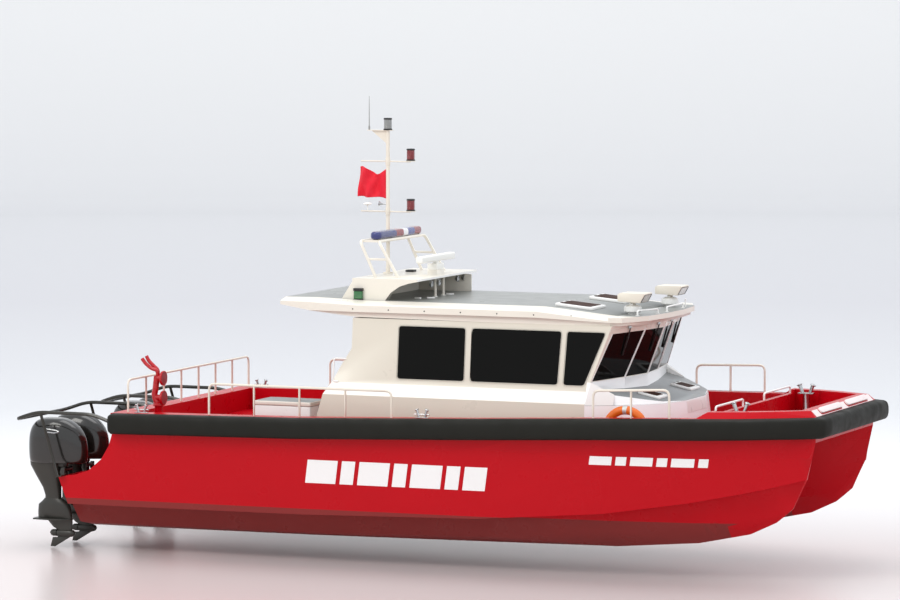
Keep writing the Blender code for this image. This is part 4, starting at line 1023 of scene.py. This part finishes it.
@dataclass
class RoofTrim:
    """What is fastened to the roof: the drain holes in its edge, hand rails, side lights and floodlights."""

    skin: Skin
    deck_z: float = 3.1125
    tube_r: float = 0.014

    def holes(self) -> None:
        """The small dark holes along the band of the roof."""
        holes = Shape()
        for side in Side:
            for k in range(7):
                at = self.skin.hit((-1.138 + 0.593 * k, side.value * 3.0, 3.125), (0, -side.value, 0), -0.002)
                disc = [(0.0, 0.0), (0.011, 0.0), (0.011, 0.003), (0.0, 0.0035)]
                holes.with_(Shape.lathe(disc, at, (0, side.value, 0), 14))
        holes.piece("roof_edge_holes", Finishes.BLACK)

    def rails(self) -> None:
        """The low hand rails on the roof's nose."""
        rails = Shape()
        foot = [(0.0, 0.0), (0.032, 0.0), (0.032, 0.006), (0.0, 0.010)]
        for a, b in (((3.26, -1.05), (3.41, -0.58)), ((3.41, -0.17), (3.39, 0.60))):
            path = [(*a, self.deck_z), (*a, 3.185), (*b, 3.185), (*b, self.deck_z)]
            rails.with_(Shape.pipe(bends(path, 0.03), self.tube_r, 12))
            for x, y in (a, b):
                rails.with_(Shape.lathe(foot, (x, y, 3.1122), steps=14))
        rails.with_(Shape.pipe([(3.36, 0.80, self.deck_z), (3.36, 0.80, 3.24)], 0.012, 10))
        for s in (-1, 1):
            grab = ((-1.24, 1.66, 2.36), (-1.45, 1.66, 2.36), (-1.45, 1.70, 2.01), (-1.36, 1.70, 2.01))
            grab = bends([(x, s * y, z) for x, y, z in grab], 0.05)
            rails.with_(Shape.pipe(grab, self.tube_r, 12))
        rails.piece("nose_rails", Finishes.WHITE)

    def flood(self, x: float, y: float, z: float) -> Shape:
        """A round floodlight that looks forward, on a bracket."""
        cup = [(0.0, 0.0), (0.026, 0.002), (0.046, 0.030), (0.050, 0.048), (0.045, 0.050), (0.040, 0.040),
            (0.0, 0.036)]
        lamp = Shape.lathe(cup, (x - 0.05, y, z), (1, 0, -0.12), 20)
        return lamp.with_(Shape.box((x - 0.045, y - 0.012, z + 0.01), (x - 0.022, y + 0.012, 3.4995)))

    def lamps(self) -> None:
        """The floodlights under the platform and the side lights on its ends."""
        lamps = Shape()
        for x, y in ((-0.33, -0.44), (-0.33, -0.14), (-0.40, 0.78), (-0.40, 1.04)):
            lamps.with_(self.flood(x, y, 3.447))
        lamps.piece("platform_floodlights", Finishes.STEEL)
        for side, lens in ((Side.STARBOARD, Finishes.GREEN_LENS), (Side.PORT, Finishes.RED_LENS)):
            s = side.value
            low, high = sorted((s * 1.2003, s * 1.262))
            Shape.box((-1.30, low, 3.245), (-1.16, high, 3.365), 0.012).piece("side_light_lens_" + side.word,
                lens)
            cap = Shape.box((-1.305, low, 3.366), (-1.155, high, 3.41), 0.006)
            cap.with_(Shape.box((-1.305, low, 3.225), (-1.155, high, 3.244), 0.005))
            cap.piece("side_light_cap_" + side.word, Finishes.BLACK)

    def clamps(self) -> None:
        """The pads and ducts round the posts' feet, and the small fitting on the platform."""
        pads = Shape()
        foot = [(0.0, 0.0), (0.055, 0.0), (0.055, 0.010), (0.030, 0.022), (0.0, 0.022)]
        for y in (-0.16, 0.16):
            pads.with_(Shape.lathe(foot, (-0.40, y, 3.217)))
        for x, y, turn in ((-0.34, -0.48, 25), (-0.50, -0.62, -20), (-0.36, 0.34, 15)):
            duct = Shape.box((x - 0.06, y - 0.02, 3.215), (x + 0.06, y + 0.02, 3.248), 0.008)
            pads.with_(duct.turned(turn, "Z", (x, y, 0)))
        pads.piece("roof_pads", Finishes.WHITE)
        Shape.box((-1.12, 0.34, 3.5605), (-0.98, 0.47, 3.592), 0.010).piece("platform_fitting",
            Finishes.BLACK)
        panel = Shape.box((-1.189, 1.045, 3.228), (-0.290, 1.0595, 3.4994), 0.003)
        panel.piece("platform_side_panel", Finishes.HOUSE)
        edge = Shape.box((-0.2615, -1.199, 3.531), (-0.2585, 1.199, 3.5595))
        edge.piece("platform_edge", Finishes.WHITE)

    def build(self) -> None:
        """Builds all the trim of the roof."""
        self.holes()
        self.rails()
        self.lamps()
        self.clamps()


@dataclass
class LightBar:
    """The pill-shaped light bar: a dark base under ribbed lenses."""

    fore: float = -1.035
    aft: float = -1.215
    half: float = 0.86

    def outline(self, inside: float) -> list[Vector]:
        """The pill's plan, inside its box by a distance."""
        r = (self.fore - self.aft) / 2
        mid = (self.fore + self.aft) / 2
        ends = [(s, math.pi * (k / 12 - 0.5)) for s in (1, -1) for k in range(13)]
        return [Vector((mid + (r - inside) * math.sin(a) * -s, s * (self.half - r) + s * (r - inside) *
            math.cos(a))) for s, a in ends]

    def build(self) -> None:
        """Builds the base and the lenses."""
        Shape.plate(self.outline(0.035), "Z", 4.1285, 4.150, 0.004).piece("light_bar_base", Finishes.BLACK)
        lens = Shape.plate(self.outline(0.0), "Z", 4.134, 4.254).eased(0.044, 5, 60.0)
        lens.piece("light_bar_lenses", Finishes.BAR_LENS, ("light_bar",))


@dataclass
class Radar:
    """The bar of the radar scanner on its turning foot."""

    x: float = -0.46

    def build(self) -> None:
        """Builds the scanner."""
        bar = Shape.box((self.x - 0.06, -0.66, 3.768), (self.x + 0.06, 0.66, 3.872), 0.024, 4)
        bar.with_(Shape.lathe([(0.0, 0.0), (0.05, 0.0), (0.05, 0.034), (0.0, 0.034)], (self.x, 0, 3.7357)))
        bar.piece("radar_bar", Finishes.RADOME, ("radar_scanner",), body="radar")
        cover = Shape.box((self.x - 0.083, -0.143, 3.64), (self.x + 0.083, 0.143, 3.7353), 0.012)
        cover.piece("radar_gearbox", Finishes.RADOME)


@dataclass
class Searchlights:
    """The framed lens on the slanted front of each lamp."""

    x: float = 3.10
    y: float = 0.82
    z: float = 3.275

    def build(self) -> None:
        """Builds both lenses."""
        for side in Side:
            y = side.value * self.y
            low, high = Vector((self.x + 0.175, 0, self.z + 0.02)), Vector((self.x + 0.25, 0, self.z + 0.15))
            out = Vector((high.z - low.z, 0, low.x - high.x)).normalized()
            quad = [low.lerp(high, t) + Vector((0, y + v, 0)) + out * 0.0005
                    for v, t in corners(-0.14, 0.14, 0.12, 0.88)]
            body = "searchlight_lamp_" + side.word
            Shape.slab(rounded(quad, 0.02), out * 0.004).piece("searchlight_lens_" + side.word, Finishes.LAMP,
                body=body)
            wide = [low.lerp(high, t) + Vector((0, y + v, 0)) + out * 0.0003
                    for v, t in corners(-0.155, 0.155, 0.05, 0.95)]
            Shape.rim(rounded(wide, 0.024), 0.016, out * 0.009).piece("searchlight_frame_" + side.word,
                Finishes.GREY, body=body)
            drum = [(0.0, 3.1124), (0.076, 3.1124), (0.080, 3.134), (0.110, 3.139), (0.131, 3.158),
                (0.131, 3.226), (0.118, 3.240), (0.098, 3.247), (0.078, 3.257), (0.0, 3.257)]
            shape = Shape.lathe(drum, (self.x, y, 0), steps=36)
            for k in range(12):
                rib = Shape.box((self.x + 0.126, y - 0.006, 3.162), (self.x + 0.134, y + 0.006, 3.222), 0.002)
                shape.with_(rib.turned(30.0 * k, "Z", (self.x, y, 0)))
            shape.piece("searchlight_drum_" + side.word, Finishes.WHITE, body="searchlight_pan_" + side.word)


@dataclass
class Hatches:
    """The tinted panes and the hinges of the four hatch lids.

    The table gives for each kind its x aft and fore, its y inside and outside, and its top at those x.
    """

    border: float = 0.055
    kinds: tuple = (("roof", (1.92, 2.52), (0.42, 1.02), (3.2646, 3.2071)),
                    ("trunk", (3.22, 3.56), (0.52, 0.92), (1.9575, 1.8856)))

    def lid(self, name: str, body: str, xs: Point, ys: Point, top: Sequence[Point]) -> None:
        """Lays a pane and a handle on a lid.

        Args:
            name: the lid's name.
            body: the CAD body.
            xs: the lid's aft and fore edge.
            ys: its edges across.
            top: the height of its top at those two edges.
        """
        def at(t: float, y: float) -> Vector:
            """A point on the lid's top."""
            return Vector((xs[0] + (xs[1] - xs[0]) * t, y, top[0] + (top[1] - top[0]) * t + 0.0004))

        inset = self.border / (xs[1] - xs[0])
        quad = [at(t, y) for t, y in corners(inset, 1 - inset, ys[0] + self.border, ys[1] - self.border)]
        Shape.slab(rounded(quad, 0.03), (0, 0, 0.003)).piece(name + "_pane", Finishes.HATCH, body=body)
        knobs = Shape()
        for s in (0.3, 0.7):
            spot = at(0.06, ys[0] + (ys[1] - ys[0]) * s)
            knobs.with_(Shape.box(spot - Vector((0.02, 0.025, 0.0)), spot + Vector((0.02, 0.025, 0.006)),
                0.002))
        knobs.piece(name + "_hinges", Finishes.GREY, body=body)

    def build(self) -> None:
        """Dresses all four lids."""
        for side in Side:
            for kind, xs, half, top in self.kinds:
                ys = sorted(side.value * y for y in half)
                self.lid(kind + "_hatch_" + side.word, kind + "_hatch_lid_" + side.word, xs, ys, top)


@dataclass
class DeckGear:
    """The lockers, the life ring, the bitts, and what lies on the trunk."""

    skin: Skin
    gunwale_bitts: tuple = ((0.27, 2.28), (-4.46, 2.2))

    def lockers(self) -> None:
        """Each locker: a box, a lid that laps over it, and two latches."""
        for side in Side:
            near, far = sorted((side.value * 1.10, side.value * 1.72))
            box = Shape.box((-2.77, near + 0.01, 1.1205), (-1.83, far - 0.01, 1.60), 0.015)
            box.piece("locker_box_" + side.word, Finishes.WHITE, ("aft_locker_" + side.word,))
            lid = Shape.box((-2.78, near, 1.604), (-1.82, far, 1.67), 0.016, 4)
            lid.piece("locker_lid_" + side.word, Finishes.LOCKER)
            inner = near if side is Side.PORT else far
            latch = Shape()
            for x in (-2.55, -2.05):
                latch.with_(Shape.box((x - 0.03, inner - 0.006, 1.55), (x + 0.03, inner + 0.006, 1.64),
                    0.003))
            latch.piece("locker_latches_" + side.word, Finishes.STEEL)

    def ring(self) -> None:
        """The life ring and its grey bands."""
        middle, big, small = Vector((3.41, -1.95, 1.4775)), 0.30, 0.066

        def arc(start: float, end: float, count: int) -> list[Vector]:
            """Points on the ring's centreline."""
            turns = [math.radians(start + (end - start) * k / count) for k in range(count + 1)]
            return [middle + Vector((math.cos(t), 0, math.sin(t))) * big for t in turns]

        Shape.pipe(arc(0, 360, 64)[:-1], small - 0.001, 20, True).piece("life_ring_body", Finishes.RING,
            ("life_ring",))
        tape = Shape()
        for mid in (0, 90, 180, 270):
            tape.with_(Shape.pipe(arc(mid - 6, mid + 6, 6), small + 0.001, 20))
        tape.piece("life_ring_tape", Finishes.RING_TAPE)

    def bitts(self) -> None:
        """Small double-horned bitts on the gunwales, and the caps on the bow bitts' horns."""
        steel = Shape()
        head = [(0.0, 0.0), (0.030, 0.0), (0.034, 0.008), (0.030, 0.018), (0.0, 0.018)]
        for x, y in self.gunwale_bitts:
            for s in (-1, 1):
                foot = self.skin.hit((x, s * y, 3.0), (0, 0, -1))
                steel.with_(Shape.box(foot - Vector((0.11, 0.035, 0)), foot + Vector((0.11, 0.035, 0.008)),
                    0.003))
                for t in (-1, 1):
                    base = foot + Vector((0.05 * t, 0, 0))
                    steel.with_(Shape.pipe([base, base + Vector((0.03 * t, 0, 0.12))], 0.020, 12))
                    steel.with_(Shape.lathe(head, base + Vector((0.028 * t, 0, 0.112)), (0.5 * t, 0, 1), 14))
                bar = foot + Vector((0, 0, 0.05))
                steel.with_(Shape.pipe([bar - Vector((0.12, 0, 0)), bar + Vector((0.12, 0, 0))], 0.012, 10))
        steel.piece("gunwale_bitts", Finishes.STEEL)
        caps = Shape()
        cap = [(0.0, 0.0), (0.030, 0.0), (0.046, 0.010), (0.046, 0.018), (0.036, 0.026), (0.0, 0.030)]
        for side in Side:
            for t in (-1, 1):
                at = (5.07 + 0.105 * t, side.value * 1.55, 1.893)
                caps.with_(Shape.lathe(cap, at, (0.4 * t, 0, 1), 16))
        caps.piece("bow_bitt_caps", Finishes.STEEL)

    def trunk(self) -> None:
        """The fairings where the side walls meet the trunk, and the plate on its nose."""
        rows = ((2.6957, 1.799, 1.804), (2.6957, 1.697, 2.0), (2.6957, 1.683, 2.143),
                (2.6957, 1.62, 1.804), (2.6957, 1.62, 2.143), (2.752, 1.682, 2.143),
                (3.08, 1.606, 1.804), (3.08, 1.554, 1.96), (3.08, 1.50, 1.804))
        for side in Side:
            fairing = Shape.shell([(x, side.value * y, z) for x, y, z in rows])
            fairing.piece("trunk_fairing_" + side.word, Finishes.WHITE, smooth=20.0)
        nose = Skin("foredeck_trunk")
        quad = [nose.hit((6.0, y, z), (-1, 0, 0), 0.0005) for y, z in corners(-0.42, 0.42, 1.61, 1.785)]
        Shape.slab(quad, (0.004, 0, 0)).piece("trunk_plate", Finishes.WHITE)

    def build(self) -> None:
        """Builds the gear of the deck."""
        self.lockers()
        self.ring()
        self.bitts()
        self.trunk()


@dataclass
class Bow:
    """The leaning edge of the bow, pale pink as painted reflection of the light on it, with two raised pads.
    """

    low: tuple = (6.20, 1.73)
    high: tuple = (6.11, 1.82)
    out: tuple = (0.7071, 0, 0.7071)
    pad_ys: tuple = (-0.62, 0.64)

    def spot(self, t: float, y: float, off: float) -> Vector:
        """A point on the leaning edge: t up it, off outward."""
        a, b = Vector((self.low[0], y, self.low[1])), Vector((self.high[0], y, self.high[1]))
        return a.lerp(b, t) + Vector(self.out) * off

    def build(self) -> None:
        """Builds the strip and the pads."""
        run = Vector(self.out)
        # The strip's and the pads' pale pink is painted reflection of the light on the leaning face.
        quad = [self.spot(t, y, PROUD) for y, t in corners(-1.38, 1.38, 0.02, 0.99)]
        Shape.slab(rounded(quad, 0.01), run * 0.002).piece("bow_strip", Finishes.STRIP)
        pads, seats = Shape(), Shape()
        for y in self.pad_ys:
            quad = [self.spot(t, y + v, 0.0026) for v, t in corners(-0.50, 0.50, 0.10, 1.0)]
            seats.with_(Shape.slab(rounded(quad, 0.045), run * 0.004))
            quad = [self.spot(t, y + v, 0.0068) for v, t in corners(-0.49, 0.49, 0.24, 1.0)]
            pads.with_(Shape.slab(rounded(quad, 0.045), run * 0.030, 0.006))
        seats.piece("bow_pad_seats", Finishes.HULL)
        pads.piece("bow_pads", Finishes.STRIP)


@dataclass
class Monitor:
    """The fire monitor on its riser: a swan-necked body with two disc valves, and a twin barrel."""

    x: float = -4.40
    y: float = -1.72
    disc_x: float = -4.314
    disc_zs: tuple = (1.650, 1.955)
    pipe_apart: float = 0.02

    def build(self) -> None:
        """Builds the body and the barrel."""
        neck = [(self.x, 1.551), (-4.455, 1.625), (-4.474, 1.70), (-4.455, 1.77), (-4.442, 1.87),
            (-4.428, 1.99)]
        pipe = Shape.pipe(bends([(x, self.y, z) for x, z in neck], 0.05, 4), 0.048, 18)
        pipe.with_(Shape.lathe([(0.0, 0.0), (0.085, 0.0), (0.085, 0.024), (0.055, 0.034), (0.0, 0.034)],
                               (self.x, self.y, 1.5505), steps=24))
        face = Shape()
        hub = [(0.0, -0.14), (0.045, -0.14), (0.05, -0.03), (0.108, -0.025), (0.116, -0.012), (0.116, 0.010),
               (0.104, 0.014), (0.100, 0.006), (0.0, 0.006)]
        disc = [(0.0, 0.0065), (0.098, 0.0065), (0.096, 0.011), (0.03, 0.014), (0.0, 0.015)]
        for z in self.disc_zs:
            for shape, profile in ((pipe, hub), (face, disc)):
                shape.with_(Shape.lathe(profile, (self.disc_x, self.y, z), (1, 0, 0), 32))
        pipe.piece("monitor_neck", Finishes.MONITOR, ("monitor_body",), body="monitor_head")
        face.piece("monitor_discs", Finishes.MONITOR_DISC, body="monitor_head")
        barrel = Shape()
        for v in (-1, 1):
            y = self.y + self.pipe_apart * v
            line = [(-4.41, self.y, 1.985), (-4.415, y, 2.08), (-4.50 + 0.014 * v, y, 2.118 + 0.018 * v),
                    (-4.60 + 0.020 * v, y, 2.20 + 0.018 * v), (-4.645 + 0.028 * v, y, 2.27 + 0.02 * v)]
            barrel.with_(Shape.pipe(bends(line, 0.05), 0.029, 14))
        barrel.piece("monitor_twin_barrel", Finishes.MONITOR, ("monitor_barrel",), body="monitor_nozzle")


@dataclass
class Outboard:
    """One outboard: cowl, leg, plate, gearcase and skeg, with a bare propeller hub behind the gearcase."""

    tag: str
    y: float
    hub_z: float = -0.53
    case_r: float = 0.062
    cowl_mid_x: float = -6.09
    cowl_half: float = 0.49
    cowl_taper: float = 0.33

    def cowl(self) -> None:
        """The lacquered cowl, domed towards the back, with its air scoops, whose steel lips paint their
        highlight.
        """
        rows = [(0.575, -6.54, -5.66, 0.19), (0.583, -6.57, -5.62, 0.225), (0.66, -6.583, -5.60, 0.240),
                (0.85, -6.588, -5.60, 0.245), (1.02, -6.575, -5.64, 0.243), (1.14, -6.535, -5.73, 0.226),
                (1.225, -6.46, -5.85, 0.192), (1.268, -6.37, -5.95, 0.145), (1.282, -6.28, -6.04, 0.08)]
        shape = Shape.tower(rows, 20, 3.2)
        for v in shape.bm.verts:
            v.co.y *= 1.0 - self.cowl_taper * max(0.0, (v.co.x - self.cowl_mid_x) / self.cowl_half)
        shape.shifted(y=self.y).piece("cowl_" + self.tag, Finishes.COWL, ("outboard_" + self.tag,),
            body="engine_" + self.tag, levels=2)
        # Bright steel lips round the scoops: painted highlight where the scoops catch the light.
        lip = Shape()
        for s in (-1, 1):
            scoop = bends([(-6.24, 0.222 * s, 1.125), (-6.04, 0.222 * s, 1.105), (-5.97, 0.224 * s, 1.08),
                           (-6.06, 0.232 * s, 1.06), (-6.22, 0.232 * s, 1.075)], 0.05)
            lip.with_(Shape.pipe(scoop, 0.010, 8))
        lip.shifted(y=self.y).piece("cowl_trim_" + self.tag, Finishes.STEEL, body="engine_" + self.tag,
            slot="engine_paint")

    def leg(self) -> None:
        """The cast leg with its plate, gearcase and skeg."""
        mid = [(0.60, -6.578, -6.065, 0.16), (0.53, -6.572, -6.065, 0.15), (0.36, -6.48, -6.065, 0.11),
               (0.18, -6.37, -6.065, 0.08), (0.06, -6.33, -6.065, 0.07), (0.012, -6.33, -6.063, 0.07)]
        low = [(0.012, -6.34, -6.05, 0.070), (-0.03, -6.38, -5.98, 0.078), (-0.09, -6.45, -5.91, 0.087),
               (-0.20, -6.46, -5.88, 0.082), (-0.30, -6.46, -5.87, 0.076), (-0.33, -6.30, -5.865, 0.055),
               (-0.44, -6.20, -5.865, 0.046), (-0.466, -6.15, -5.866, 0.044), (-0.517, -6.10, -5.88, 0.035)]
        shape = Shape.tower(mid, 20, 2.8).with_(Shape.tower(low, 20, 2.4))
        plate = [(-6.52, -0.05), (-6.50, -0.12), (-6.30, -0.145), (-6.00, -0.13), (-5.88, -0.06),
                 (-5.88, 0.06), (-6.00, 0.13), (-6.30, 0.145), (-6.50, 0.12), (-6.52, 0.05)]
        shape.with_(Shape.plate(plate, "Z", -0.325, -0.303, 0.006))
        nose = [(0.0, 0.30), (0.026, 0.294), (0.046, 0.275), (0.058, 0.24), (self.case_r, 0.18),
            (self.case_r, 0.08), (0.055, 0.0), (0.0, 0.0)]
        shape.with_(Shape.lathe(nose, (-6.12, 0, self.hub_z), (1, 0, 0)))
        skeg = [(-6.115, -0.575), (-6.13, -0.60), (-6.21, -0.605), (-6.25, -0.75), (-6.17, -0.75),
            (-5.88, -0.575)]
        shape.with_(Shape.plate(skeg, "Y", -0.011, 0.011, 0.006))
        yoke = [(-6.12, -0.06), (-6.12, 0.06), (-5.99, 0.06), (-5.945, 0.035), (-5.945, -0.035),
            (-5.99, -0.06)]
        shape.with_(Shape.plate(yoke, "Z", 0.517, 0.59, 0.006))
        shape.shifted(y=self.y).piece("leg_" + self.tag, Finishes.LEG, body="engine_" + self.tag, smooth=40.0)

    def hub(self) -> None:
        """The bare hub, with the nut at its end."""
        profile = [(0.0, -0.06), (0.018, -0.06), (0.020, -0.046), (0.038, -0.044), (0.050, -0.030),
            (0.055, 0.0), (0.055, 0.056), (0.0, 0.056)]
        shape = Shape.lathe(profile, (-6.19, self.y, self.hub_z), (1, 0, 0))
        shape.piece("hub_" + self.tag, Finishes.LEG, ("propeller_hub_" + self.tag,),
            body="propeller_" + self.tag)

    def build(self) -> None:
        """Builds the whole outboard."""
        self.cowl()
        self.leg()
        self.hub()


@dataclass
class Mast:
    """The pole on the radar platform, its two yards, three lamps, whip, disc antenna and horn."""

    x: float = -1.265
    foot: float = 3.5603
    head: float = 5.78
    lamp_x: float = -0.88
    yards: tuple = (5.30, 4.52)

    def lamp(self, name: str, x: float, z: float, lens: Finishes) -> None:
        """An all-round lamp: a dark foot and cap with the ribbed lens between them."""
        foot = [(0.0, 0.0), (0.066, 0.0), (0.070, 0.006), (0.070, 0.016), (0.062, 0.022), (0.0, 0.022)]
        cap = [(0.0, 0.165), (0.066, 0.165), (0.068, 0.175), (0.060, 0.188), (0.0, 0.192)]
        ribbed = [(0.0, 0.022), (0.060, 0.022), (0.062, 0.030), (0.062, 0.158), (0.060, 0.165), (0.0, 0.165)]
        case = Shape.lathe(foot, (x, 0, z)).with_(Shape.lathe(cap, (x, 0, z)))
        case.piece(name + "_case", Finishes.BLACK, slot="grey_paint")
        Shape.lathe(ribbed, (x, 0, z)).piece(name + "_lens", lens)

    def build(self) -> None:
        """Builds the mast and all that it carries."""
        pole = Shape.lathe([(0.0, 0.0), (0.075, 0.0), (0.075, 0.016), (0.034, 0.022), (0.034, 0.10),
            (0.030, 0.11), (0.030, self.head - self.foot), (0.0, self.head - self.foot)],
            (self.x, 0, self.foot))
        for z in self.yards:
            pole.with_(Shape.lathe([(0.0, -0.06), (0.036, -0.06), (0.038, -0.05), (0.038, 0.05),
                (0.036, 0.06), (0.0, 0.06)], (self.x, 0, z)))
            pole.with_(Shape.pipe([(-1.72, 0, z), (self.lamp_x, 0, z)], 0.011, 10))
            pole.with_(Shape.lathe([(0.0, 0.0), (0.075, 0.0), (0.077, 0.004), (0.075, 0.009), (0.0, 0.009)],
                                   (self.lamp_x, 0, z + 0.006)))
        pole.with_(Shape.box((-1.60, -0.045, 5.776), (self.x + 0.08, 0.045, 5.786), 0.003))
        pole.with_(Shape.plate([(-1.54, 5.776), (self.x, 5.776), (self.x, 5.56)], "Y", -0.005, 0.005))
        pole.piece("mast_pole", Finishes.RAIL, ("mast",), smooth=40.0)
        for k, z in enumerate(self.yards):
            self.lamp("mast_lamp_%d" % k, self.lamp_x, z + 0.015, Finishes.RED_LENS)
        self.lamp("masthead_lamp", self.x, 5.786, Finishes.GREY_LENS)
        whip = Shape.lathe([(0.0, 0.0), (0.014, 0.0), (0.014, 0.05), (0.008, 0.07), (0.006, 0.30),
            (0.0035, 0.524), (0.0, 0.524)], (-1.58, 0, 5.786), steps=10)
        whip.piece("whip_antenna", Finishes.GREY)
        disc = Shape.lathe([(0.0, 0.0), (0.008, 0.0), (0.008, 0.07), (0.020, 0.085), (0.055, 0.092),
            (0.072, 0.102), (0.066, 0.115), (0.03, 0.125), (0.0, 0.127)], (-1.61, 0, 4.528), steps=24)
        disc.piece("disc_antenna", Finishes.RADOME)
        horn = Shape.lathe([(0.0, 0.0), (0.010, 0.0), (0.012, 0.05), (0.022, 0.09), (0.040, 0.115),
            (0.036, 0.116), (0.018, 0.09), (0.0, 0.06)], (self.x - 0.034, 0, 4.63), (-1, 0, 0.1), steps=20)
        horn.piece("mast_horn", Finishes.STEEL)


@dataclass
class Flag:
    """The plain red flag, flying aft from the mast on its hoist edge."""

    hoist_x: float = -1.2958
    low: float = 4.72
    high: float = 5.16
    reach: float = 0.46

    def build(self) -> None:
        """Waves a grid of cloth and thickens it a little."""
        made = Shape()
        bmesh.ops.create_grid(made.bm, x_segments=36, y_segments=30, size=0.5)
        for v in made.bm.verts:
            u, w = v.co.x + 0.5, v.co.y + 0.5
            drop = -0.03 * math.sin(u * 5.2) - 0.05 * u * u + 0.05 * u
            pinch = 1.0 - 0.12 * math.sin(u * math.pi * 1.2)
            z = self.low + (self.high - self.low) * (0.5 + (w - 0.5) * pinch) + drop + 0.02 * math.sin(7 * u +
                2 * w)
            x = self.hoist_x - self.reach * u - 0.03 * u * math.sin(3.0 * w + 1.0)
            y = (0.045 * math.sin(9.0 * u - 2.6 * w) + 0.02 * math.sin(17.0 * u + 5.0 * w)) * min(1.0,
                u * 2.5)
            v.co = (x, y, z)
        ob = made.piece("flag_cloth", Finishes.FLAG, ("flag",), smooth=180.0)
        thick = ob.modifiers.new("thickness", "SOLIDIFY")
        thick.thickness = 0.002


@dataclass
class Studio:
    """The floor, the light and the camera; none of it is part of the boat."""

    floor_z: float = -0.765
    eye: tuple = (27.6, -67.0, 8.78)
    yaw: float = 22.55
    pitch: float = 4.422
    focal_px: float = 4699.0
    wall_half: float = 15.0

    def floor(self) -> None:
        """A pale sweep: flat under the boat, and rising to a wall far behind it, as the camera sees it."""
        rise = [(90.0 + 25.0 * math.sin(a), 25.0 * (1.0 - math.cos(a))) for a in
                (math.radians(90.0 * k / 10) for k in range(11))]
        made = Shape.lathe([(0.0, 0.0)] + rise + [(115.0, 42.0)], (0, 0, self.floor_z), steps=96)
        behind = -Vector(self.eye).xy.normalized()
        aside = math.cos(math.radians(self.wall_half))
        spots = [(f, f.calc_center_median()) for f in made.bm.faces]
        clear = [f for f,
            at in spots if at.z > self.floor_z + 0.01 and at.xy.normalized().dot(behind) < aside]
        bmesh.ops.delete(made.bm, geom=clear, context="FACES")
        mesh = bpy.data.meshes.new("studio_floor")
        made.bm.to_mesh(mesh)
        made.bm.free()
        mesh.shade_smooth()
        ob = bpy.data.objects.new("studio_floor", mesh)
        bpy.context.scene.collection.objects.link(ob)
        mat = bpy.data.materials.new("pale_floor")
        mat.use_nodes = True
        tree = mat.node_tree
        shader = tree.nodes["Principled BSDF"]
        place = node(tree, "ShaderNodeTexCoord").outputs["Object"]
        away = node(tree, "ShaderNodeVectorMath", {0: place, 1: (-0.3835, 0.9235, 0.0)},
            operation="DOT_PRODUCT")
        along = node(tree, "ShaderNodeMapRange", {0: away.outputs["Value"], 1: -10.0, 2: 110.0})
        ramp = node(tree, "ShaderNodeValToRGB", {0: along.outputs[0]})
        # The bright band and the grey-blue further out are painted light on the backdrop.
        # The pink near the boat is painted reflection of the red hull, with painted shade.
        stops = ((0.0, "D6CAC8"), (0.09, "DDD2D0"), (0.15, "EDECEC"), (0.20, "F2F2F2"), (0.27, "DFE0E3"),
            (0.50, "D5D4D9"), (0.83, "DEDEE0"), (1.0, "FAF9F6"))
        for k, (at, code) in enumerate(stops):
            stop = ramp.color_ramp.elements[k] if k < 2 else ramp.color_ramp.elements.new(at)
            stop.position, stop.color = at, linear(code)
        tree.links.new(ramp.outputs["Color"], shader.inputs["Base Color"])
        shader.inputs["Roughness"].default_value = 0.24
        mesh.materials.append(mat)

    def lamp(self, name: str, at: Point, aim: Point, size: float, power: float, tint: str = "FFFFFF") -> None:
        """A soft square lamp.

        Args:
            name: the lamp's name.
            at: where it stands.
            aim: what it points at.
            size: its side.
            power: its power in watts.
            tint: its colour.
        """
        data = bpy.data.lights.new(name, "AREA")
        data.shape, data.size, data.energy = "SQUARE", size, power
        data.color = linear(tint)[:3]
        ob = bpy.data.objects.new(name, data)
        ob.location = at
        ob.rotation_euler = (Vector(aim) - Vector(at)).to_track_quat("-Z", "Y").to_euler()
        bpy.context.scene.collection.objects.link(ob)

    def build(self) -> None:
        """Sets up the studio."""
        world = bpy.data.worlds.new("pale_studio")
        world.use_nodes = True
        world.node_tree.nodes["Background"].inputs["Color"].default_value = linear("DCDFE4")
        world.node_tree.nodes["Background"].inputs["Strength"].default_value = 1.38
        bpy.context.scene.world = world
        bpy.context.scene.view_settings.view_transform = "Standard"
        self.floor()
        self.lamp("key", (-14, -30, 26), (0, 0, 1), 16, 4600, "FFFDF8")
        self.lamp("bow_fill", (34, -14, 16), (2, 0, 1), 14, 1400, "F4F6FF")
        self.lamp("top", (0, 4, 30), (0, 0, 0), 20, 3000)
        data = bpy.data.cameras.new("camera")
        data.sensor_width = 36.0
        data.lens = self.focal_px / 900.0 * 36.0
        data.clip_end = 2000.0
        ob = bpy.data.objects.new("camera", data)
        ob.location = self.eye
        ob.rotation_euler = (math.radians(90.0 - self.pitch), 0.0, math.radians(self.yaw))
        bpy.context.scene.collection.objects.link(ob)
        bpy.context.scene.camera = ob


def main() -> None:
    """Builds the studio and every dressed piece, in order."""
    logging.basicConfig(level=logging.INFO, format="%(message)s")
    Studio().build()
    Carried().build()
    skin = Skin("hull", "bulwark")
    Livery(skin).build()
    for part in (Windscreen(), Windows(), RoofTrim(Skin("roof")), LightBar(), Radar(), Searchlights(),
            Hatches(), DeckGear(skin), Bow(), Monitor()):
        part.build()
    for side in Side:
        for word, y in (("inner", 1.07), ("outer", 1.81)):
            Outboard("%s_%s" % (side.word, word), side.value * y).build()
    Mast().build()
    Flag().build()
    bare = [name for name, ob in frame["nodes"].items() if not ob.hide_render]
    LOG.info("nodes that no piece stands for: %s", bare)


if __name__ == "__main__":
    main()
